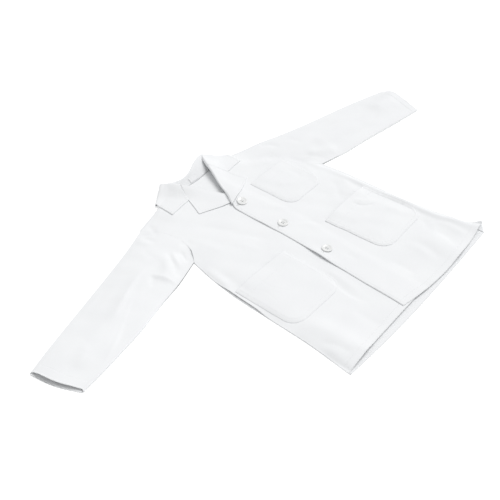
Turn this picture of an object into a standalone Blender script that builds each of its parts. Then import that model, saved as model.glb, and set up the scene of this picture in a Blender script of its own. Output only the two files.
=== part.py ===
"""Child's doctor coat, buttoned up and laid on its back with both sleeves spread.

Lengths are in millimetres until the last step, which scales them to metres.
+X is the wearer's left, +Y runs from hem to neck, +Z points up from the surface
that the coat lies on. The origin is on that surface, below the middle button.
Every layer takes its height from one set of functions, so that each lies on the
one below it with a small gap.
"""
import bpy
import bmesh
import numpy as np

MM = 0.001
CLOTH = 1.2            # wall of each cloth piece
SEAM = 0.3             # gap between pieces sewn edge to edge
LAY = 0.5              # gap between pieces that lie on each other
STACK = CLOTH + LAY    # one more layer
LEFT = 1               # wearer's left, +X
RIGHT = -1

BODY_CROWN = 3.6       # how far the fronts stand off the back in mid-panel
SLEEVE_CROWN = 6.2
CROWN_REACH = 24.0     # distance from a closed edge over which cloth rises
ROLL_REACH = 24.0      # distance from the roll line over which a front rises
NECK_LIFT = CLOTH + LAY
ARMHOLE_STEPS = 11     # seam points along an armhole
BODY_ROWS = 10         # rows of points from hem to armpit
ROLL_STEPS = 11        # points along a roll line

# Plan outlines, each from the hem or the armpit upwards.
SIDE = {
    RIGHT: [(-214, -286), (-204, -205), (-200, -130), (-196, -50), (-186, 15), (-176, 58)],
    LEFT: [(220, -284), (206, -205), (200, -130), (201, -50), (201, 8), (197, 52)],
}
ARMHOLE = {
    RIGHT: [(-176, 58), (-156, 84), (-149, 120), (-156, 156), (-174, 189)],
    LEFT: [(197, 52), (172, 78), (160, 118), (164, 158), (179, 196)],
}
SLEEVE_TOP = {
    RIGHT: [(-174, 189), (-234, 168), (-317, 144), (-390, 124), (-459, 105), (-515, 88)],
    LEFT: [(179, 196), (230, 179), (300, 160), (392, 139), (450, 124), (516, 105)],
}
SLEEVE_UNDER = {
    RIGHT: [(-179, 61), (-238, 43), (-298, 31), (-348, 20), (-420, 9), (-489, 1)],
    LEFT: [(200, 54), (260, 40), (337, 30), (417, 17), (494, 6)],
}
FRONT_EDGE = {
    RIGHT: [(2, -277), (8, -190), (15, -103), (22, -30), (23, 40), (21, 91), (17, 106)],
    LEFT: [(-44, -277), (-38, -190), (-31, -103), (-24, -30), (-23, 40), (-21, 91), (-17, 106)],
}
NECK_POINT = {RIGHT: (-62, 222), LEFT: (62, 222)}
SHOULDER_TIP = {s: ARMHOLE[s][-1] for s in (RIGHT, LEFT)}
ROLL = {s: [(-17 * s, 106), (0, 136), (19 * s, 175), (38 * s, 213)] for s in (RIGHT, LEFT)}
ROLL_RISE = {RIGHT: 7.0, LEFT: 12.0}
ROLL_RADIUS = (1.5, 3.0)       # of the fold, at the break and at the collar
LAPEL_TIP = {RIGHT: (-74, 136), LEFT: (67, 138)}
NOTCH = {RIGHT: (-58, 177), LEFT: (57, 178)}
COLLAR_TIP = {RIGHT: (-108, 172), LEFT: (103, 183)}
COLLAR_SHOULDER = {RIGHT: (-104, 220), LEFT: (107, 217)}
COLLAR_PEAK = {RIGHT: (-59, 247, 12.0), LEFT: (58, 248, 15.0)}
COLLAR_BACK = [(-44, 239, 9.0), (-22, 230, 9.0), (0, 230, 12.0), (20, 238, 15.0), (42, 246, 16.0)]
BACK_NECK_DROP = 12.0
NECK_STEPS = np.array([0, 28, 50, 62])
COLLAR_UNDERLAP = 188.0        # y of the collar's edge below the back

HEM_BACK = (-297.0, 9.0)       # y at the centre, and how much higher at the sides
HEM_LEFT = (-291.0, 14.0)
HEM_RIGHT = -282.0

# Corner nearest the centre at the mouth, width, depth, corner radius, turn in degrees.
POCKETS = {
    "pocket_lower_left": (LEFT, (53, -56), 134, 130, 28, 1.5),
    "pocket_lower_right": (RIGHT, (-58, -46), 130, 128, 28, -1.5),
    "pocket_chest": (LEFT, (54, 118), 104, 100, 22, 0.0),
}
BUTTONS = [(1, 96), (0, 0), (-8, -102)]
LABEL = (20.0, 12.0)           # width, height
LABEL_WALL = 1.0
BUTTON_RADIUS = 10.0
BUTTON_HEIGHT = 3.0

# Large soft folds: start, end, half width, height.
FOLDS = [
    ((236, -306), (214, -246), 36, 13.0),
    ((120, -300), (128, -236), 30, 4.0),
    ((-196, -300), (-188, -250), 26, 3.0),
    ((-535, 74), (-440, 70), 20, 5.5),
    ((535, 78), (440, 74), 20, 5.5),
    ((-440, 44), (-262, 96), 20, 2.2),
    ((262, 98), (470, 58), 17, 3.0),
    ((-196, 88), (-236, 70), 12, 3.0),
    ((214, 84), (246, 66), 12, 3.0),
]


def spline(points, count):
    """Evenly spaced points along a smooth curve through the given ones."""
    p = np.array(points, float)
    p = np.vstack([2 * p[0] - p[1], p, 2 * p[-1] - p[-2]])
    t = np.linspace(0, 1, 25)[:, None]
    pieces = []
    for a, b, c, d in zip(p[:-3], p[1:-2], p[2:-1], p[3:]):
        cubic = 2 * b + (c - a) * t + (2 * a - 5 * b + 4 * c - d) * t ** 2
        cubic = cubic + (3 * b - a - 3 * c + d) * t ** 3
        pieces.append(0.5 * cubic)
    return even(np.vstack(pieces), count)


def even(line, count):
    """Resample a polyline at equal steps of its length."""
    line = np.array(line, float)
    step = np.r_[0, np.cumsum(np.linalg.norm(np.diff(line, axis=0), axis=1))]
    wanted = np.linspace(0, step[-1], count)
    return np.stack([np.interp(wanted, step, line[:, k]) for k in range(line.shape[1])], axis=1)


def x_at(curve, y):
    """x of a curve that only climbs, at heights y."""
    return np.interp(y, curve[:, 1], curve[:, 0])


def distance(x, y, line):
    """Distance from each point to a polyline, and how far along it the nearest point is."""
    best = np.full(np.shape(x), 1e9)
    along = np.zeros(np.shape(x))
    count = len(line) - 1
    for k in range(count):
        a, b = line[k, :2], line[k + 1, :2]
        ab = b - a
        t = np.clip(((x - a[0]) * ab[0] + (y - a[1]) * ab[1]) / (ab @ ab), 0, 1)
        d = np.hypot(x - a[0] - t * ab[0], y - a[1] - t * ab[1])
        nearer = d < best
        best = np.where(nearer, d, best)
        along = np.where(nearer, (k + t) / count, along)
    return best, along


def ease(t):
    t = np.clip(t, 0, 1)
    return t * t * (3 - 2 * t)


SIDE_LINE = {s: spline(SIDE[s], 40) for s in SIDE}
ARMHOLE_LINE = {s: spline(ARMHOLE[s], 40) for s in ARMHOLE}
EDGE_LINE = {s: spline(FRONT_EDGE[s], 60) for s in FRONT_EDGE}
ROLL_LINE = {s: spline(ROLL[s], 40) for s in ROLL}
TOP_LINE = {s: spline(SLEEVE_TOP[s], 40) for s in SLEEVE_TOP}
UNDER_LINE = {s: spline(SLEEVE_UNDER[s], 40) for s in SLEEVE_UNDER}


def closed_edge_distance(x, y):
    """Distance to the nearest edge where front and back are joined."""
    best = np.full(np.shape(x), 1e9)
    for s in (RIGHT, LEFT):
        shoulder = np.array([NECK_POINT[s], SHOULDER_TIP[s]], float)
        for line in (SIDE_LINE[s], shoulder, TOP_LINE[s], UNDER_LINE[s]):
            best = np.minimum(best, distance(x, y, line)[0])
    return best


def folds(x, y):
    total = 0.0
    for start, end, width, height in FOLDS:
        d, _ = distance(x, y, np.array([start, end], float))
        total = total + height * np.exp(-(d / width) ** 2)
    return total


def near_neck(x, y):
    """0 over most of the coat, 1 where the collar lies under the back."""
    return ease((y - 140) / 46) * ease((134 - np.abs(x)) / 42)


def back_mid(x, y):
    """Height of the back's middle surface: flat, but lifted over the collar at the neck."""
    return CLOTH / 2 + NECK_LIFT * near_neck(x, y)


def upper_mid(x, y):
    """Height of the layer above the back, over body and sleeves alike."""
    d = closed_edge_distance(x, y)
    crown = BODY_CROWN + (SLEEVE_CROWN - BODY_CROWN) * ease((np.abs(x) - 170) / 60)
    rise = crown * (1 - np.exp(-(d / CROWN_REACH) ** 1.5))
    open_fold = folds(x, y) * ease(d / 12)
    inside = near_neck(x, y)
    slack = 1.4 * inside * (1 - inside)
    return back_mid(x, y) + CLOTH + SEAM + rise + open_fold + slack


def roll_rise(x, y, side):
    """The front climbs towards its roll line, more and more up to the collar."""
    d, along = distance(x, y, ROLL_LINE[side])
    return ROLL_RISE[side] * ease(along * 1.05) * np.exp(-(d / ROLL_REACH) ** 2)


def front_mid(x, y, side):
    """Height of a front's middle surface; the left one lies over the right one."""
    z = upper_mid(x, y) + roll_rise(x, y, side)
    if side == LEFT:
        over = x_at(EDGE_LINE[RIGHT], y)
        z = z + STACK * ease((over + 22 - x) / 18)
        z = z + 4.6 * np.exp(-((x - 10) / 28) ** 2 - ((y - 121) / 27) ** 2)
    return z


def coons(bottom, top, first, last):
    """Surface through four boundary curves: bottom and top run along u, first and last along v."""
    u = np.linspace(0, 1, len(bottom))[:, None, None]
    v = np.linspace(0, 1, len(first))[None, :, None]
    lofted = (1 - v) * bottom[:, None] + v * top[:, None]
    across = (1 - u) * first[None] + u * last[None]
    corners = (1 - u) * (1 - v) * bottom[0] + u * (1 - v) * bottom[-1]
    corners = corners + (1 - u) * v * top[0] + u * v * top[-1]
    return lofted + across - corners


def grid_normals(mid):
    du = np.gradient(mid, axis=0)
    dv = np.gradient(mid, axis=1)
    n = np.cross(du, dv)
    return n / np.linalg.norm(n, axis=2, keepdims=True)


def grid_faces(rows, columns, base):
    faces = []
    for i in range(rows - 1):
        for j in range(columns - 1):
            a = base + i * columns + j
            faces.append((a, a + columns, a + columns + 1, a + 1))
    return faces


def make_object(name, verts, faces, material):
    """A closed mesh object in metres, faces pointing out, shaded smooth but for its rims."""
    mesh = bpy.data.meshes.new(name)
    mesh.from_pydata((np.array(verts) * MM).tolist(), [], faces)
    bm = bmesh.new()
    bm.from_mesh(mesh)
    bmesh.ops.recalc_face_normals(bm, faces=bm.faces)
    bm.to_mesh(mesh)
    bm.free()
    mesh.shade_smooth()
    mesh.set_sharp_from_angle(angle=np.radians(50))
    mesh.materials.append(material)
    obj = bpy.data.objects.new(name, mesh)
    bpy.context.scene.collection.objects.link(obj)
    return obj


def panel(name, mid, material, thickness=CLOTH):
    """A cloth wall around a middle surface."""
    rows, columns = mid.shape[:2]
    half = grid_normals(mid) * thickness / 2
    verts = np.vstack([(mid + half).reshape(-1, 3), (mid - half).reshape(-1, 3)])
    count = rows * columns
    faces = grid_faces(rows, columns, 0)
    faces += [tuple(reversed(f)) for f in grid_faces(rows, columns, count)]
    rim = [i * columns for i in range(rows)]
    rim += [(rows - 1) * columns + j for j in range(1, columns)]
    rim += [i * columns + columns - 1 for i in range(rows - 2, -1, -1)]
    rim += [j for j in range(columns - 2, 0, -1)]
    for a, b in zip(rim, rim[1:] + rim[:1]):
        faces.append((a, a + count, b + count, b))
    return make_object(name, verts, faces, material)


def lifted(plan, height):
    """Give a plan grid its height."""
    return np.dstack([plan, height(plan[..., 0], plan[..., 1])])


def neck_edge(x):
    """y of the back's neck hollow, in straight steps that back and collar share."""
    neck_x, neck_y = NECK_POINT[LEFT]
    y = neck_y - BACK_NECK_DROP * np.sqrt(1 - (NECK_STEPS / neck_x) ** 2)
    return np.interp(np.abs(x), NECK_STEPS, y)


def armhole_points(side):
    """The seam points that back, front and sleeve share at one armhole."""
    return even(ARMHOLE_LINE[side], ARMHOLE_STEPS)


def make_back(material):
    """Back panel: hem, side seams, armholes, shoulders and the hollow of the neck."""
    across = np.r_[-176, -132, -92, -NECK_STEPS[:0:-1], NECK_STEPS, 94, 136, 178].astype(float)
    fraction = (across - across[0]) / (across[-1] - across[0])
    neck_x, neck_y = NECK_POINT[LEFT]
    tip_y = (SHOULDER_TIP[LEFT][1] + SHOULDER_TIP[RIGHT][1]) / 2
    shoulder = np.interp(np.abs(across), [neck_x, across[-1]], [neck_y, tip_y])
    top_y = np.where(np.abs(across) < neck_x, neck_edge(across), shoulder)
    ends = {}
    for s in (RIGHT, LEFT):
        low = even(SIDE_LINE[s], BODY_ROWS + 1)[:-1]
        ends[s] = np.vstack([low, armhole_points(s)])
    rows = len(ends[LEFT])
    grid = np.zeros((rows, len(across), 2))
    for i in range(rows):
        grid[i] = ends[RIGHT][i] + fraction[:, None] * (ends[LEFT][i] - ends[RIGHT][i])
        above = max(i - BODY_ROWS + 2, 0) / (ARMHOLE_STEPS + 1)
        inner = (np.arange(len(across)) > 0) & (np.arange(len(across)) < len(across) - 1)
        grid[i, :, 1] += np.where(inner, (top_y - grid[i, :, 1]) * above ** 2.2, 0)
    grid[0, :, 1] = HEM_BACK[0] + HEM_BACK[1] * (grid[0, :, 0] / 215) ** 2
    return panel("back", lifted(grid, back_mid), material)


def front_boundary(side):
    """Inner boundary of a front, hem to shoulder: front edge, roll line, neckline."""
    radius = np.linspace(*ROLL_RADIUS, ROLL_STEPS)[:, None]
    roll = even(ROLL_LINE[side], ROLL_STEPS)
    tangent = np.gradient(roll, axis=0)
    outward = np.stack([tangent[:, 1], -tangent[:, 0]], axis=1) * side
    outward = outward / np.linalg.norm(outward, axis=1, keepdims=True)
    return roll + outward * (radius + 2 * SEAM)


def make_front(side, name, material):
    """Front panel, cut along the roll line where the lapel turns over."""
    edge = EDGE_LINE[side]
    roll = front_boundary(side)
    neck = np.array(NECK_POINT[side], float) + np.array([1.5 * side, -0.5])
    hem_rows = np.array([-272, -258, -243, -226, -205], float)
    low = np.r_[hem_rows, np.linspace(-180, 96, ARMHOLE_STEPS + BODY_ROWS - 12)]
    inner = np.stack([x_at(edge, low), low], axis=1)
    inner = np.vstack([inner, roll[::2], neck])
    side_y = np.r_[hem_rows, np.linspace(-180, SIDE[side][-1][1], BODY_ROWS - 4)[:-1]]
    outer = np.stack([x_at(SIDE_LINE[side], side_y), side_y], axis=1)
    outer = np.vstack([outer, armhole_points(side)])
    columns = 14
    u = np.linspace(0, 1, columns)[None, :, None]
    grid = inner[:, None] * (1 - u) + outer[:, None] * u
    hem = grid[0].copy()
    if side == LEFT:
        hem[:, 1] = HEM_LEFT[0] + HEM_LEFT[1] * ((hem[:, 0] - 88) / 132) ** 2
    else:
        hem[:, 1] = HEM_RIGHT
    grid[0] = hem
    return panel(name, lifted(grid, lambda x, y: front_mid(x, y, side)), material)


def ring_tube(name, outer, inner, material):
    """A tube wall from matching outer and inner rings, open at both ends."""
    stations, count = outer.shape[:2]
    verts = np.vstack([outer.reshape(-1, 3), inner.reshape(-1, 3)])
    base = stations * count
    faces = []
    for i in range(stations - 1):
        for j in range(count):
            a, b = i * count + j, i * count + (j + 1) % count
            faces.append((a, b, b + count, a + count))
            faces.append((base + a, base + a + count, base + b + count, base + b))
    for j in range(count):
        k = (j + 1) % count
        end = (stations - 1) * count
        faces.append((j, base + j, base + k, k))
        faces.append((end + j, end + k, base + end + k, base + end + j))
    return make_object(name, verts, faces, material)


def make_sleeve(side, name, material):
    """One-piece sleeve, pressed flat, open at the armhole and the cuff."""
    stations = 12
    armhole = armhole_points(side) + np.array([SEAM * 1.5 * side, 0.0])
    armhole[0] = SLEEVE_UNDER[side][0]
    cuff = even([SLEEVE_UNDER[side][-1], SLEEVE_TOP[side][-1]], ARMHOLE_STEPS)
    top = even(TOP_LINE[side], stations)
    top[0] = armhole[-1]
    plan = coons(even(UNDER_LINE[side], stations), top, armhole, cuff)
    x, y = plan[..., 0], plan[..., 1]
    upper = upper_mid(x, y)
    lower = back_mid(x, y)
    sideways = plan[:, -1] - plan[:, 0]
    sideways = sideways / np.linalg.norm(sideways, axis=1, keepdims=True)

    def rings(half, reach):
        high = np.dstack([plan, upper + half])
        low = np.dstack([plan, lower - half])[:, ::-1]
        middle = (upper + lower)[:, -1:, None] / 2
        far = np.dstack([plan[:, -1:] + sideways[:, None] * reach, middle])
        middle = (upper + lower)[:, :1, None] / 2
        near = np.dstack([plan[:, :1] - sideways[:, None] * reach, middle])
        return np.concatenate([high, far, low, near], axis=1)

    return ring_tube(name, rings(CLOTH / 2, CLOTH + 0.1), rings(-CLOTH / 2, 0.1), material)


def make_lapel(side, name, material):
    """Facing turned over at the roll line, down to the lapel's edge."""
    along = ROLL_STEPS
    roll = even(ROLL_LINE[side], along)
    radius = np.linspace(*ROLL_RADIUS, along)[:, None]
    tangent = np.gradient(roll, axis=0)
    outward = np.stack([tangent[:, 1], -tangent[:, 0]], axis=1) * side
    outward = outward / np.linalg.norm(outward, axis=1, keepdims=True)
    start = roll + outward * radius
    tip = np.array(LAPEL_TIP[side], float)
    notch = np.array(NOTCH[side], float)
    bow = np.array([0, -4.0])
    lower_edge = spline([start[0], (start[0] + tip) / 2 + bow, tip], 7)
    gorge = even([start[-1], notch], 7)
    outer_edge = even([tip, notch], along)
    plan = coons(start, outer_edge, lower_edge, gorge)
    plan[-1] = plan[-1] - np.array([0.25 * side, 0.4])
    s = np.linspace(0, 1, 7)[None, :]
    under = front_mid(plan[..., 0], plan[..., 1], side)
    loft = (2 * radius - STACK) * (1 - ease(s)) ** 1.3
    flat = np.dstack([plan, under + STACK + np.clip(loft, 0, None)])
    fold_z = flat[:, 0, 2] - radius[:, 0]
    angles = np.radians([-90, -55, -20, 15, 50])
    fold = np.zeros((along, len(angles), 3))
    for k, a in enumerate(angles):
        fold[:, k, :2] = start - outward * radius * np.cos(a)
        fold[:, k, 2] = fold_z + radius[:, 0] * np.sin(a)
    return panel(name, np.concatenate([fold, flat], axis=1), material)


def unit(v):
    v = np.array(v, float)
    return v / np.linalg.norm(v)


def collar_section(seam, edge_of_fold, inward, towards_fall, radius, fall):
    """One section of the collar: stand, fold, then the points of its fall."""
    centre = edge_of_fold + inward * radius
    foot = centre - towards_fall * radius
    rise = [seam + (foot - seam) * k for k in (0.0, 0.34, 0.68)]
    turn = []
    for degrees in (0, 45, 90, 135):
        a = np.radians(degrees)
        turn.append(centre - radius * (np.cos(a) * towards_fall + np.sin(a) * inward))
    return np.vstack([rise, turn, [centre + towards_fall * radius], fall])


def collar_front_sections(side):
    """Sections from the gorge to the shoulder, where the fall lies on the front."""
    count = 6
    r = ROLL_RADIUS[1]
    roll_end = ROLL_LINE[side][-1]
    peak = np.array(COLLAR_PEAK[side])
    middle = (roll_end + peak[:2]) / 2 + np.array([-1.5 * side, 1.0])
    fold = spline([roll_end, middle, peak[:2]], count)
    fold[0] = fold[0] + unit(fold[1] - fold[0]) * 0.7
    tangent = np.gradient(fold, axis=0)
    tangent = tangent / np.linalg.norm(tangent, axis=1, keepdims=True)
    inward = np.stack([tangent[:, 1], -tangent[:, 0]], axis=1) * side
    last = unit(np.array(NECK_POINT[side]) - peak[:2] + (np.array(COLLAR_SHOULDER[side]) - peak[:2]) * 0.5)
    t = np.linspace(0, 1, count)[:, None]
    inward = inward * (1 - t ** 2) + last * t ** 2
    inward = inward / np.linalg.norm(inward, axis=1, keepdims=True)
    start = fold + inward * r
    tip = np.array(COLLAR_TIP[side], float)
    notch = np.array(NOTCH[side], float)
    shoulder = np.array(COLLAR_SHOULDER[side], float) + np.array([-1.5 * side, -2.5])
    end = np.vstack([even([start[0], notch], 4)[:-1], even([notch, tip], 4)])
    plan = coons(start, even([tip, shoulder], count), end, even([start[-1], shoulder], 7))
    under = front_mid(plan[..., 0], plan[..., 1], side)
    corner_z = front_mid(start[:1, 0], start[:1, 1], side)[0]
    fold_z = corner_z + r + (peak[2] - corner_z - r) * ease(t[:, 0])
    s = np.linspace(0, 1, 7)[None, :]
    loft = (fold_z + r)[:, None] - under[:, :1] - STACK
    flat = np.dstack([plan, under + STACK + np.clip(loft * (1 - ease(s * 1.2)) ** 1.2, 0, None)])
    seam_line = even([front_boundary(side)[-1], np.array(NECK_POINT[side]) + np.array([1.5 * side, -0.5])], count)
    hole_side = unit([-0.35 * side, 1.0])
    sections = []
    up = np.array([0, 0, 1.0])
    for j in range(count):
        seam = seam_line[j] + hole_side * 1.4
        z = front_mid(seam[:1], seam[1:], side)[0]
        seam = np.array([*seam, z])
        if j == 0:
            seam = np.array([*(start[0] + hole_side * 1.2), fold_z[0] - r - 1.6])
        edge = np.array([*fold[j], fold_z[j]])
        sections.append(collar_section(seam, edge, np.array([*inward[j], 0]), up, r, flat[j, 1:]))
    return sections


def collar_turn_sections(side):
    """Two sections along the shoulder: where the collar turns, and just below the coat."""
    peak = np.array(COLLAR_PEAK[side])
    neck = np.array(NECK_POINT[side], float)
    shoulder = np.array(COLLAR_SHOULDER[side], float)
    inward = unit(neck - peak[:2] + (shoulder - peak[:2]) * 0.5)
    sideways = np.array([-inward[1], inward[0]]) * side
    r = ROLL_RADIUS[1]
    centre = peak[:2] + inward * r + sideways * r
    k = np.linspace(0, 1, 7)[1:, None]
    plan = centre * (1 - k) + shoulder * k
    top = front_mid(shoulder[:1], shoulder[1:], side)[0] + STACK
    z = peak[2] + ((top + CLOTH / 2) / 2 - peak[2]) * ease(k * 1.3)
    seam = np.array([neck[0] - 0.4 * side, neck[1] + 2.4, back_mid(neck[0], neck[1]) + 1.2])
    fall = np.hstack([plan, z])
    turn = collar_section(seam, peak, np.array([*inward, 0]), np.array([*sideways, 0]), r, fall)
    low = turn.copy()
    low[:, :2] = turn[:, :2] - sideways * np.linspace(0.5, 1.8, len(turn))[:, None]
    flat = ease(np.linspace(-0.55, 1.1, len(turn) - 7))
    low[7:, 2] = turn[7:, 2] * (1 - flat) + CLOTH / 2 * flat
    low[3:7, 2] = turn[3:7, 2] - 1.5
    return [turn, low]


def collar_back_sections():
    """Sections across the back of the neck, where the fall lies under the back."""
    r = ROLL_RADIUS[1]
    peaks = [np.array(COLLAR_PEAK[RIGHT]), np.array(COLLAR_PEAK[LEFT])]
    fold = spline([peaks[0] + [2, -0.5, 0], *COLLAR_BACK, peaks[1] + [-2, -0.5, 0]], 11)
    neck_x = NECK_POINT[LEFT][0]
    sections = []
    for f in fold:
        share = f[0] / neck_x
        side = np.sign(share)
        seam_x = np.clip(share, -0.97, 0.97) * neck_x
        seam_y = neck_edge(seam_x) + 1.5
        seam = np.array([seam_x, seam_y, back_mid(seam_x, seam_y)])
        reach = abs(share) ** 2
        shoulder = COLLAR_SHOULDER[side if side else LEFT]
        out = np.array([f[0] * 1.12 + (shoulder[0] - 1.5 * side - f[0] * 1.12) * reach ** 1.5,
                        COLLAR_UNDERLAP + (shoulder[1] - 4.0 - COLLAR_UNDERLAP) * reach ** 1.5])
        inward = unit(out - f[:2])
        start = f[:2] + inward * r
        k = np.array([0.14, 0.28, 0.44, 0.62, 0.8, 1.0])
        plan = start + (out - start) * k[:, None]
        reach_seam = np.linalg.norm(seam[:2] - start) / np.linalg.norm(out - start)
        z = CLOTH / 2 + (f[2] - r - CLOTH / 2) * (1 - ease(k / reach_seam * 1.12))
        fall = np.column_stack([plan, z])
        down = np.array([0, 0, -1.0])
        sections.append(collar_section(seam, f, np.array([*inward, 0]), down, r, fall))
    return sections


def make_label(material):
    """Small blank label on the inside of the stand, sewn on at the neck seam."""
    middle = collar_back_sections()[5]
    seam, foot = middle[0], middle[3]
    across = np.linspace(-LABEL[0] / 2, LABEL[0] / 2, 5)
    up = (foot - seam) / np.linalg.norm(foot - seam)
    off = np.array([0, -up[2], up[1]]) * (CLOTH + LAY)
    grid = np.zeros((5, 4, 3))
    for i, x in enumerate(across):
        for j, k in enumerate(np.linspace(0.2, 1.0, 4)):
            grid[i, j] = seam + up * k * LABEL[1] + off + np.array([x, 0, 0])
    return panel("neck_label", grid, material, LABEL_WALL)


def make_collar(material):
    """One-piece collar: stand and fall, over the fronts and under the back."""
    sections = collar_front_sections(RIGHT)
    sections += collar_turn_sections(RIGHT)
    sections += collar_back_sections()
    sections += collar_turn_sections(LEFT)[::-1]
    sections += collar_front_sections(LEFT)[::-1]
    return panel("collar", np.array(sections), material)


def make_button(name, centre, material):
    """Sew-through button with a raised rim, on the left front."""
    x, y = centre
    spots = np.linspace(0, 2 * np.pi, 16, endpoint=False)
    around = np.r_[x, x + BUTTON_RADIUS * np.cos(spots)], np.r_[y, y + BUTTON_RADIUS * np.sin(spots)]
    floor = front_mid(around[0], around[1], LEFT).max() + CLOTH / 2 + LAY
    r, h = BUTTON_RADIUS, BUTTON_HEIGHT
    profile = [(r - 1.4, 0), (r, 1.0), (r, h - 0.9), (r - 0.9, h), (r - 1.9, h), (r - 3.2, h - 1.1)]
    turns = 20
    verts = [(x, y, floor)]
    for radius, z in profile:
        for k in range(turns):
            a = 2 * np.pi * k / turns
            verts.append((x + radius * np.cos(a), y + radius * np.sin(a), floor + z))
    verts.append((x, y, floor + h - 1.1))
    faces = []
    for k in range(turns):
        faces.append((0, 1 + (k + 1) % turns, 1 + k))
        for ring in range(len(profile) - 1):
            a = 1 + ring * turns
            b = a + turns
            m = (k + 1) % turns
            faces.append((a + k, a + m, b + m, b + k))
        a = 1 + (len(profile) - 1) * turns
        faces.append((a + k, a + (k + 1) % turns, len(verts) - 1))
    return make_object(name, verts, faces, material)


def make_pocket(name, side, corner, width, depth, radius, turn, material):
    """Patch pocket with round bottom corners, lying on its front."""
    down = np.r_[0, radius * (1 - np.cos(np.radians([25, 50, 72, 90]))), np.linspace(radius * 1.6, depth, 5)]
    columns = 10
    grid = np.zeros((len(down), columns, 2))
    for i, d in enumerate(down):
        inset = radius - np.sqrt(max(radius ** 2 - max(radius - d, 0) ** 2, 0))
        grid[i, :, 0] = np.linspace(inset, width - inset, columns) * side
        grid[i, :, 1] = d - depth
    c, s = np.cos(np.radians(turn)), np.sin(np.radians(turn))
    plan = np.stack([grid[..., 0] * c - grid[..., 1] * s, grid[..., 0] * s + grid[..., 1] * c], axis=2)
    plan = plan + np.array(corner, float)
    return panel(name, lifted(plan, lambda x, y: front_mid(x, y, side) + STACK + 0.3), material)


def cloth_material(name, colour, roughness):
    material = bpy.data.materials.new(name)
    material.use_nodes = True
    shader = material.node_tree.nodes["Principled BSDF"]
    shader.inputs["Base Color"].default_value = (*colour, 1)
    shader.inputs["Roughness"].default_value = roughness
    shader.inputs["Metallic"].default_value = 0.0
    return material


def main():
    for old in list(bpy.data.objects):
        bpy.data.objects.remove(old, do_unlink=True)
    white = (0.86, 0.87, 0.88)

    def cloth(name):
        return cloth_material(name + "_cloth", white, 0.85)

    make_back(cloth("back"))
    make_collar(cloth("collar"))
    make_label(cloth("neck_label"))
    for side, word in ((RIGHT, "right"), (LEFT, "left")):
        make_front(side, "front_" + word, cloth("front_" + word))
        make_sleeve(side, "sleeve_" + word, cloth("sleeve_" + word))
        make_lapel(side, "lapel_" + word, cloth("lapel_" + word))
    for name, (side, corner, width, depth, radius, turn) in POCKETS.items():
        make_pocket(name, side, corner, width, depth, radius, turn, cloth(name))
    for number, centre in enumerate(BUTTONS, 1):
        name = "button_%d" % number
        make_button(name, centre, cloth_material(name + "_plastic", (0.88, 0.88, 0.87), 0.3))


main()
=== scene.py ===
"""Child's doctor coat: the cloth, seams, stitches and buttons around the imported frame.

Lengths are in millimetres until a mesh is made, which scales them to metres.
+X is the wearer's left, +Y runs from hem to neck, +Z points up from the floor.
Each layer takes its height from the same functions, so layers never cross.
"""
import math

import bpy
import numpy as np
from mathutils import Matrix, Vector


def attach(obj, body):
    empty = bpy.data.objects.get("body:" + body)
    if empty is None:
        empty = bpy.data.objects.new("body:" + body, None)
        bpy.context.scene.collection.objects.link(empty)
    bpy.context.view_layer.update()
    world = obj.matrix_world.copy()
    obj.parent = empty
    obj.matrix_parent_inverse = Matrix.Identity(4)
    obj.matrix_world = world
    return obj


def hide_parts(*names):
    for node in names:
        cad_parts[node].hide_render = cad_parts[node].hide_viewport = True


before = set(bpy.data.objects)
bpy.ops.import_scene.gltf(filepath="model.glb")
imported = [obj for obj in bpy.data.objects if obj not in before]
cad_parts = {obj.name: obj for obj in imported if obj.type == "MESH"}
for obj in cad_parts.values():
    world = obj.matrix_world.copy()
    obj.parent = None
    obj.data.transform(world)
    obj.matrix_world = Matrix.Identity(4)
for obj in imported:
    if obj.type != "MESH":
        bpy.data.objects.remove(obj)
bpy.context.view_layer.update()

MM = 0.001
LEFT = 1               # wearer's left, +X
RIGHT = -1
SIDES = ((RIGHT, "right"), (LEFT, "left"))

# Heights of the frame's layers.
CLOTH = 1.2
SEAM = 0.3
STACK = 1.7
BODY_CROWN = 3.6
SLEEVE_CROWN = 6.2
CROWN_REACH = 24.0
ROLL_REACH = 24.0

# Walls of the visible cloth.
WALL = 0.9
POCKET_WALL = 0.7
SEWN = (WALL + POCKET_WALL) / 2 + 0.04   # a sewn-down edge, middle above middle
FACED_WALL = 1.2       # collar, lapels: two plies and a lining
LAID = (WALL + FACED_WALL) / 2 + 0.14
TAPE_WALL = 0.5
RIM = 0.2              # how far a cut edge rounds outwards

# Plan outlines of the frame, each from the hem or the armpit upwards.
SIDE = {
    RIGHT: [(-214, -286), (-204, -205), (-200, -130), (-196, -50), (-186, 15), (-176, 58)],
    LEFT: [(220, -284), (206, -205), (200, -130), (201, -50), (201, 8), (197, 52)],
}
ARMHOLE = {
    RIGHT: [(-176, 58), (-156, 84), (-149, 120), (-156, 156), (-174, 189)],
    LEFT: [(197, 52), (172, 78), (160, 118), (164, 158), (179, 196)],
}
SLEEVE_TOP = {
    RIGHT: [(-174, 189), (-234, 168), (-317, 144), (-390, 124), (-459, 105), (-515, 88)],
    LEFT: [(179, 196), (230, 179), (300, 160), (392, 139), (450, 124), (516, 105)],
}
SLEEVE_UNDER = {
    RIGHT: [(-179, 61), (-238, 43), (-298, 31), (-348, 20), (-420, 9), (-489, 1)],
    LEFT: [(200, 54), (260, 40), (337, 30), (417, 17), (494, 6)],
}
FRONT_EDGE = {
    RIGHT: [(2, -277), (8, -190), (15, -103), (22, -30), (23, 40), (21, 91), (17, 106)],
    LEFT: [(-44, -277), (-38, -190), (-31, -103), (-24, -30), (-23, 40), (-21, 91), (-17, 106)],
}
NECK_POINT = {RIGHT: (-62, 222), LEFT: (62, 222)}
SHOULDER_TIP = {s: ARMHOLE[s][-1] for s in (RIGHT, LEFT)}
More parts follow.
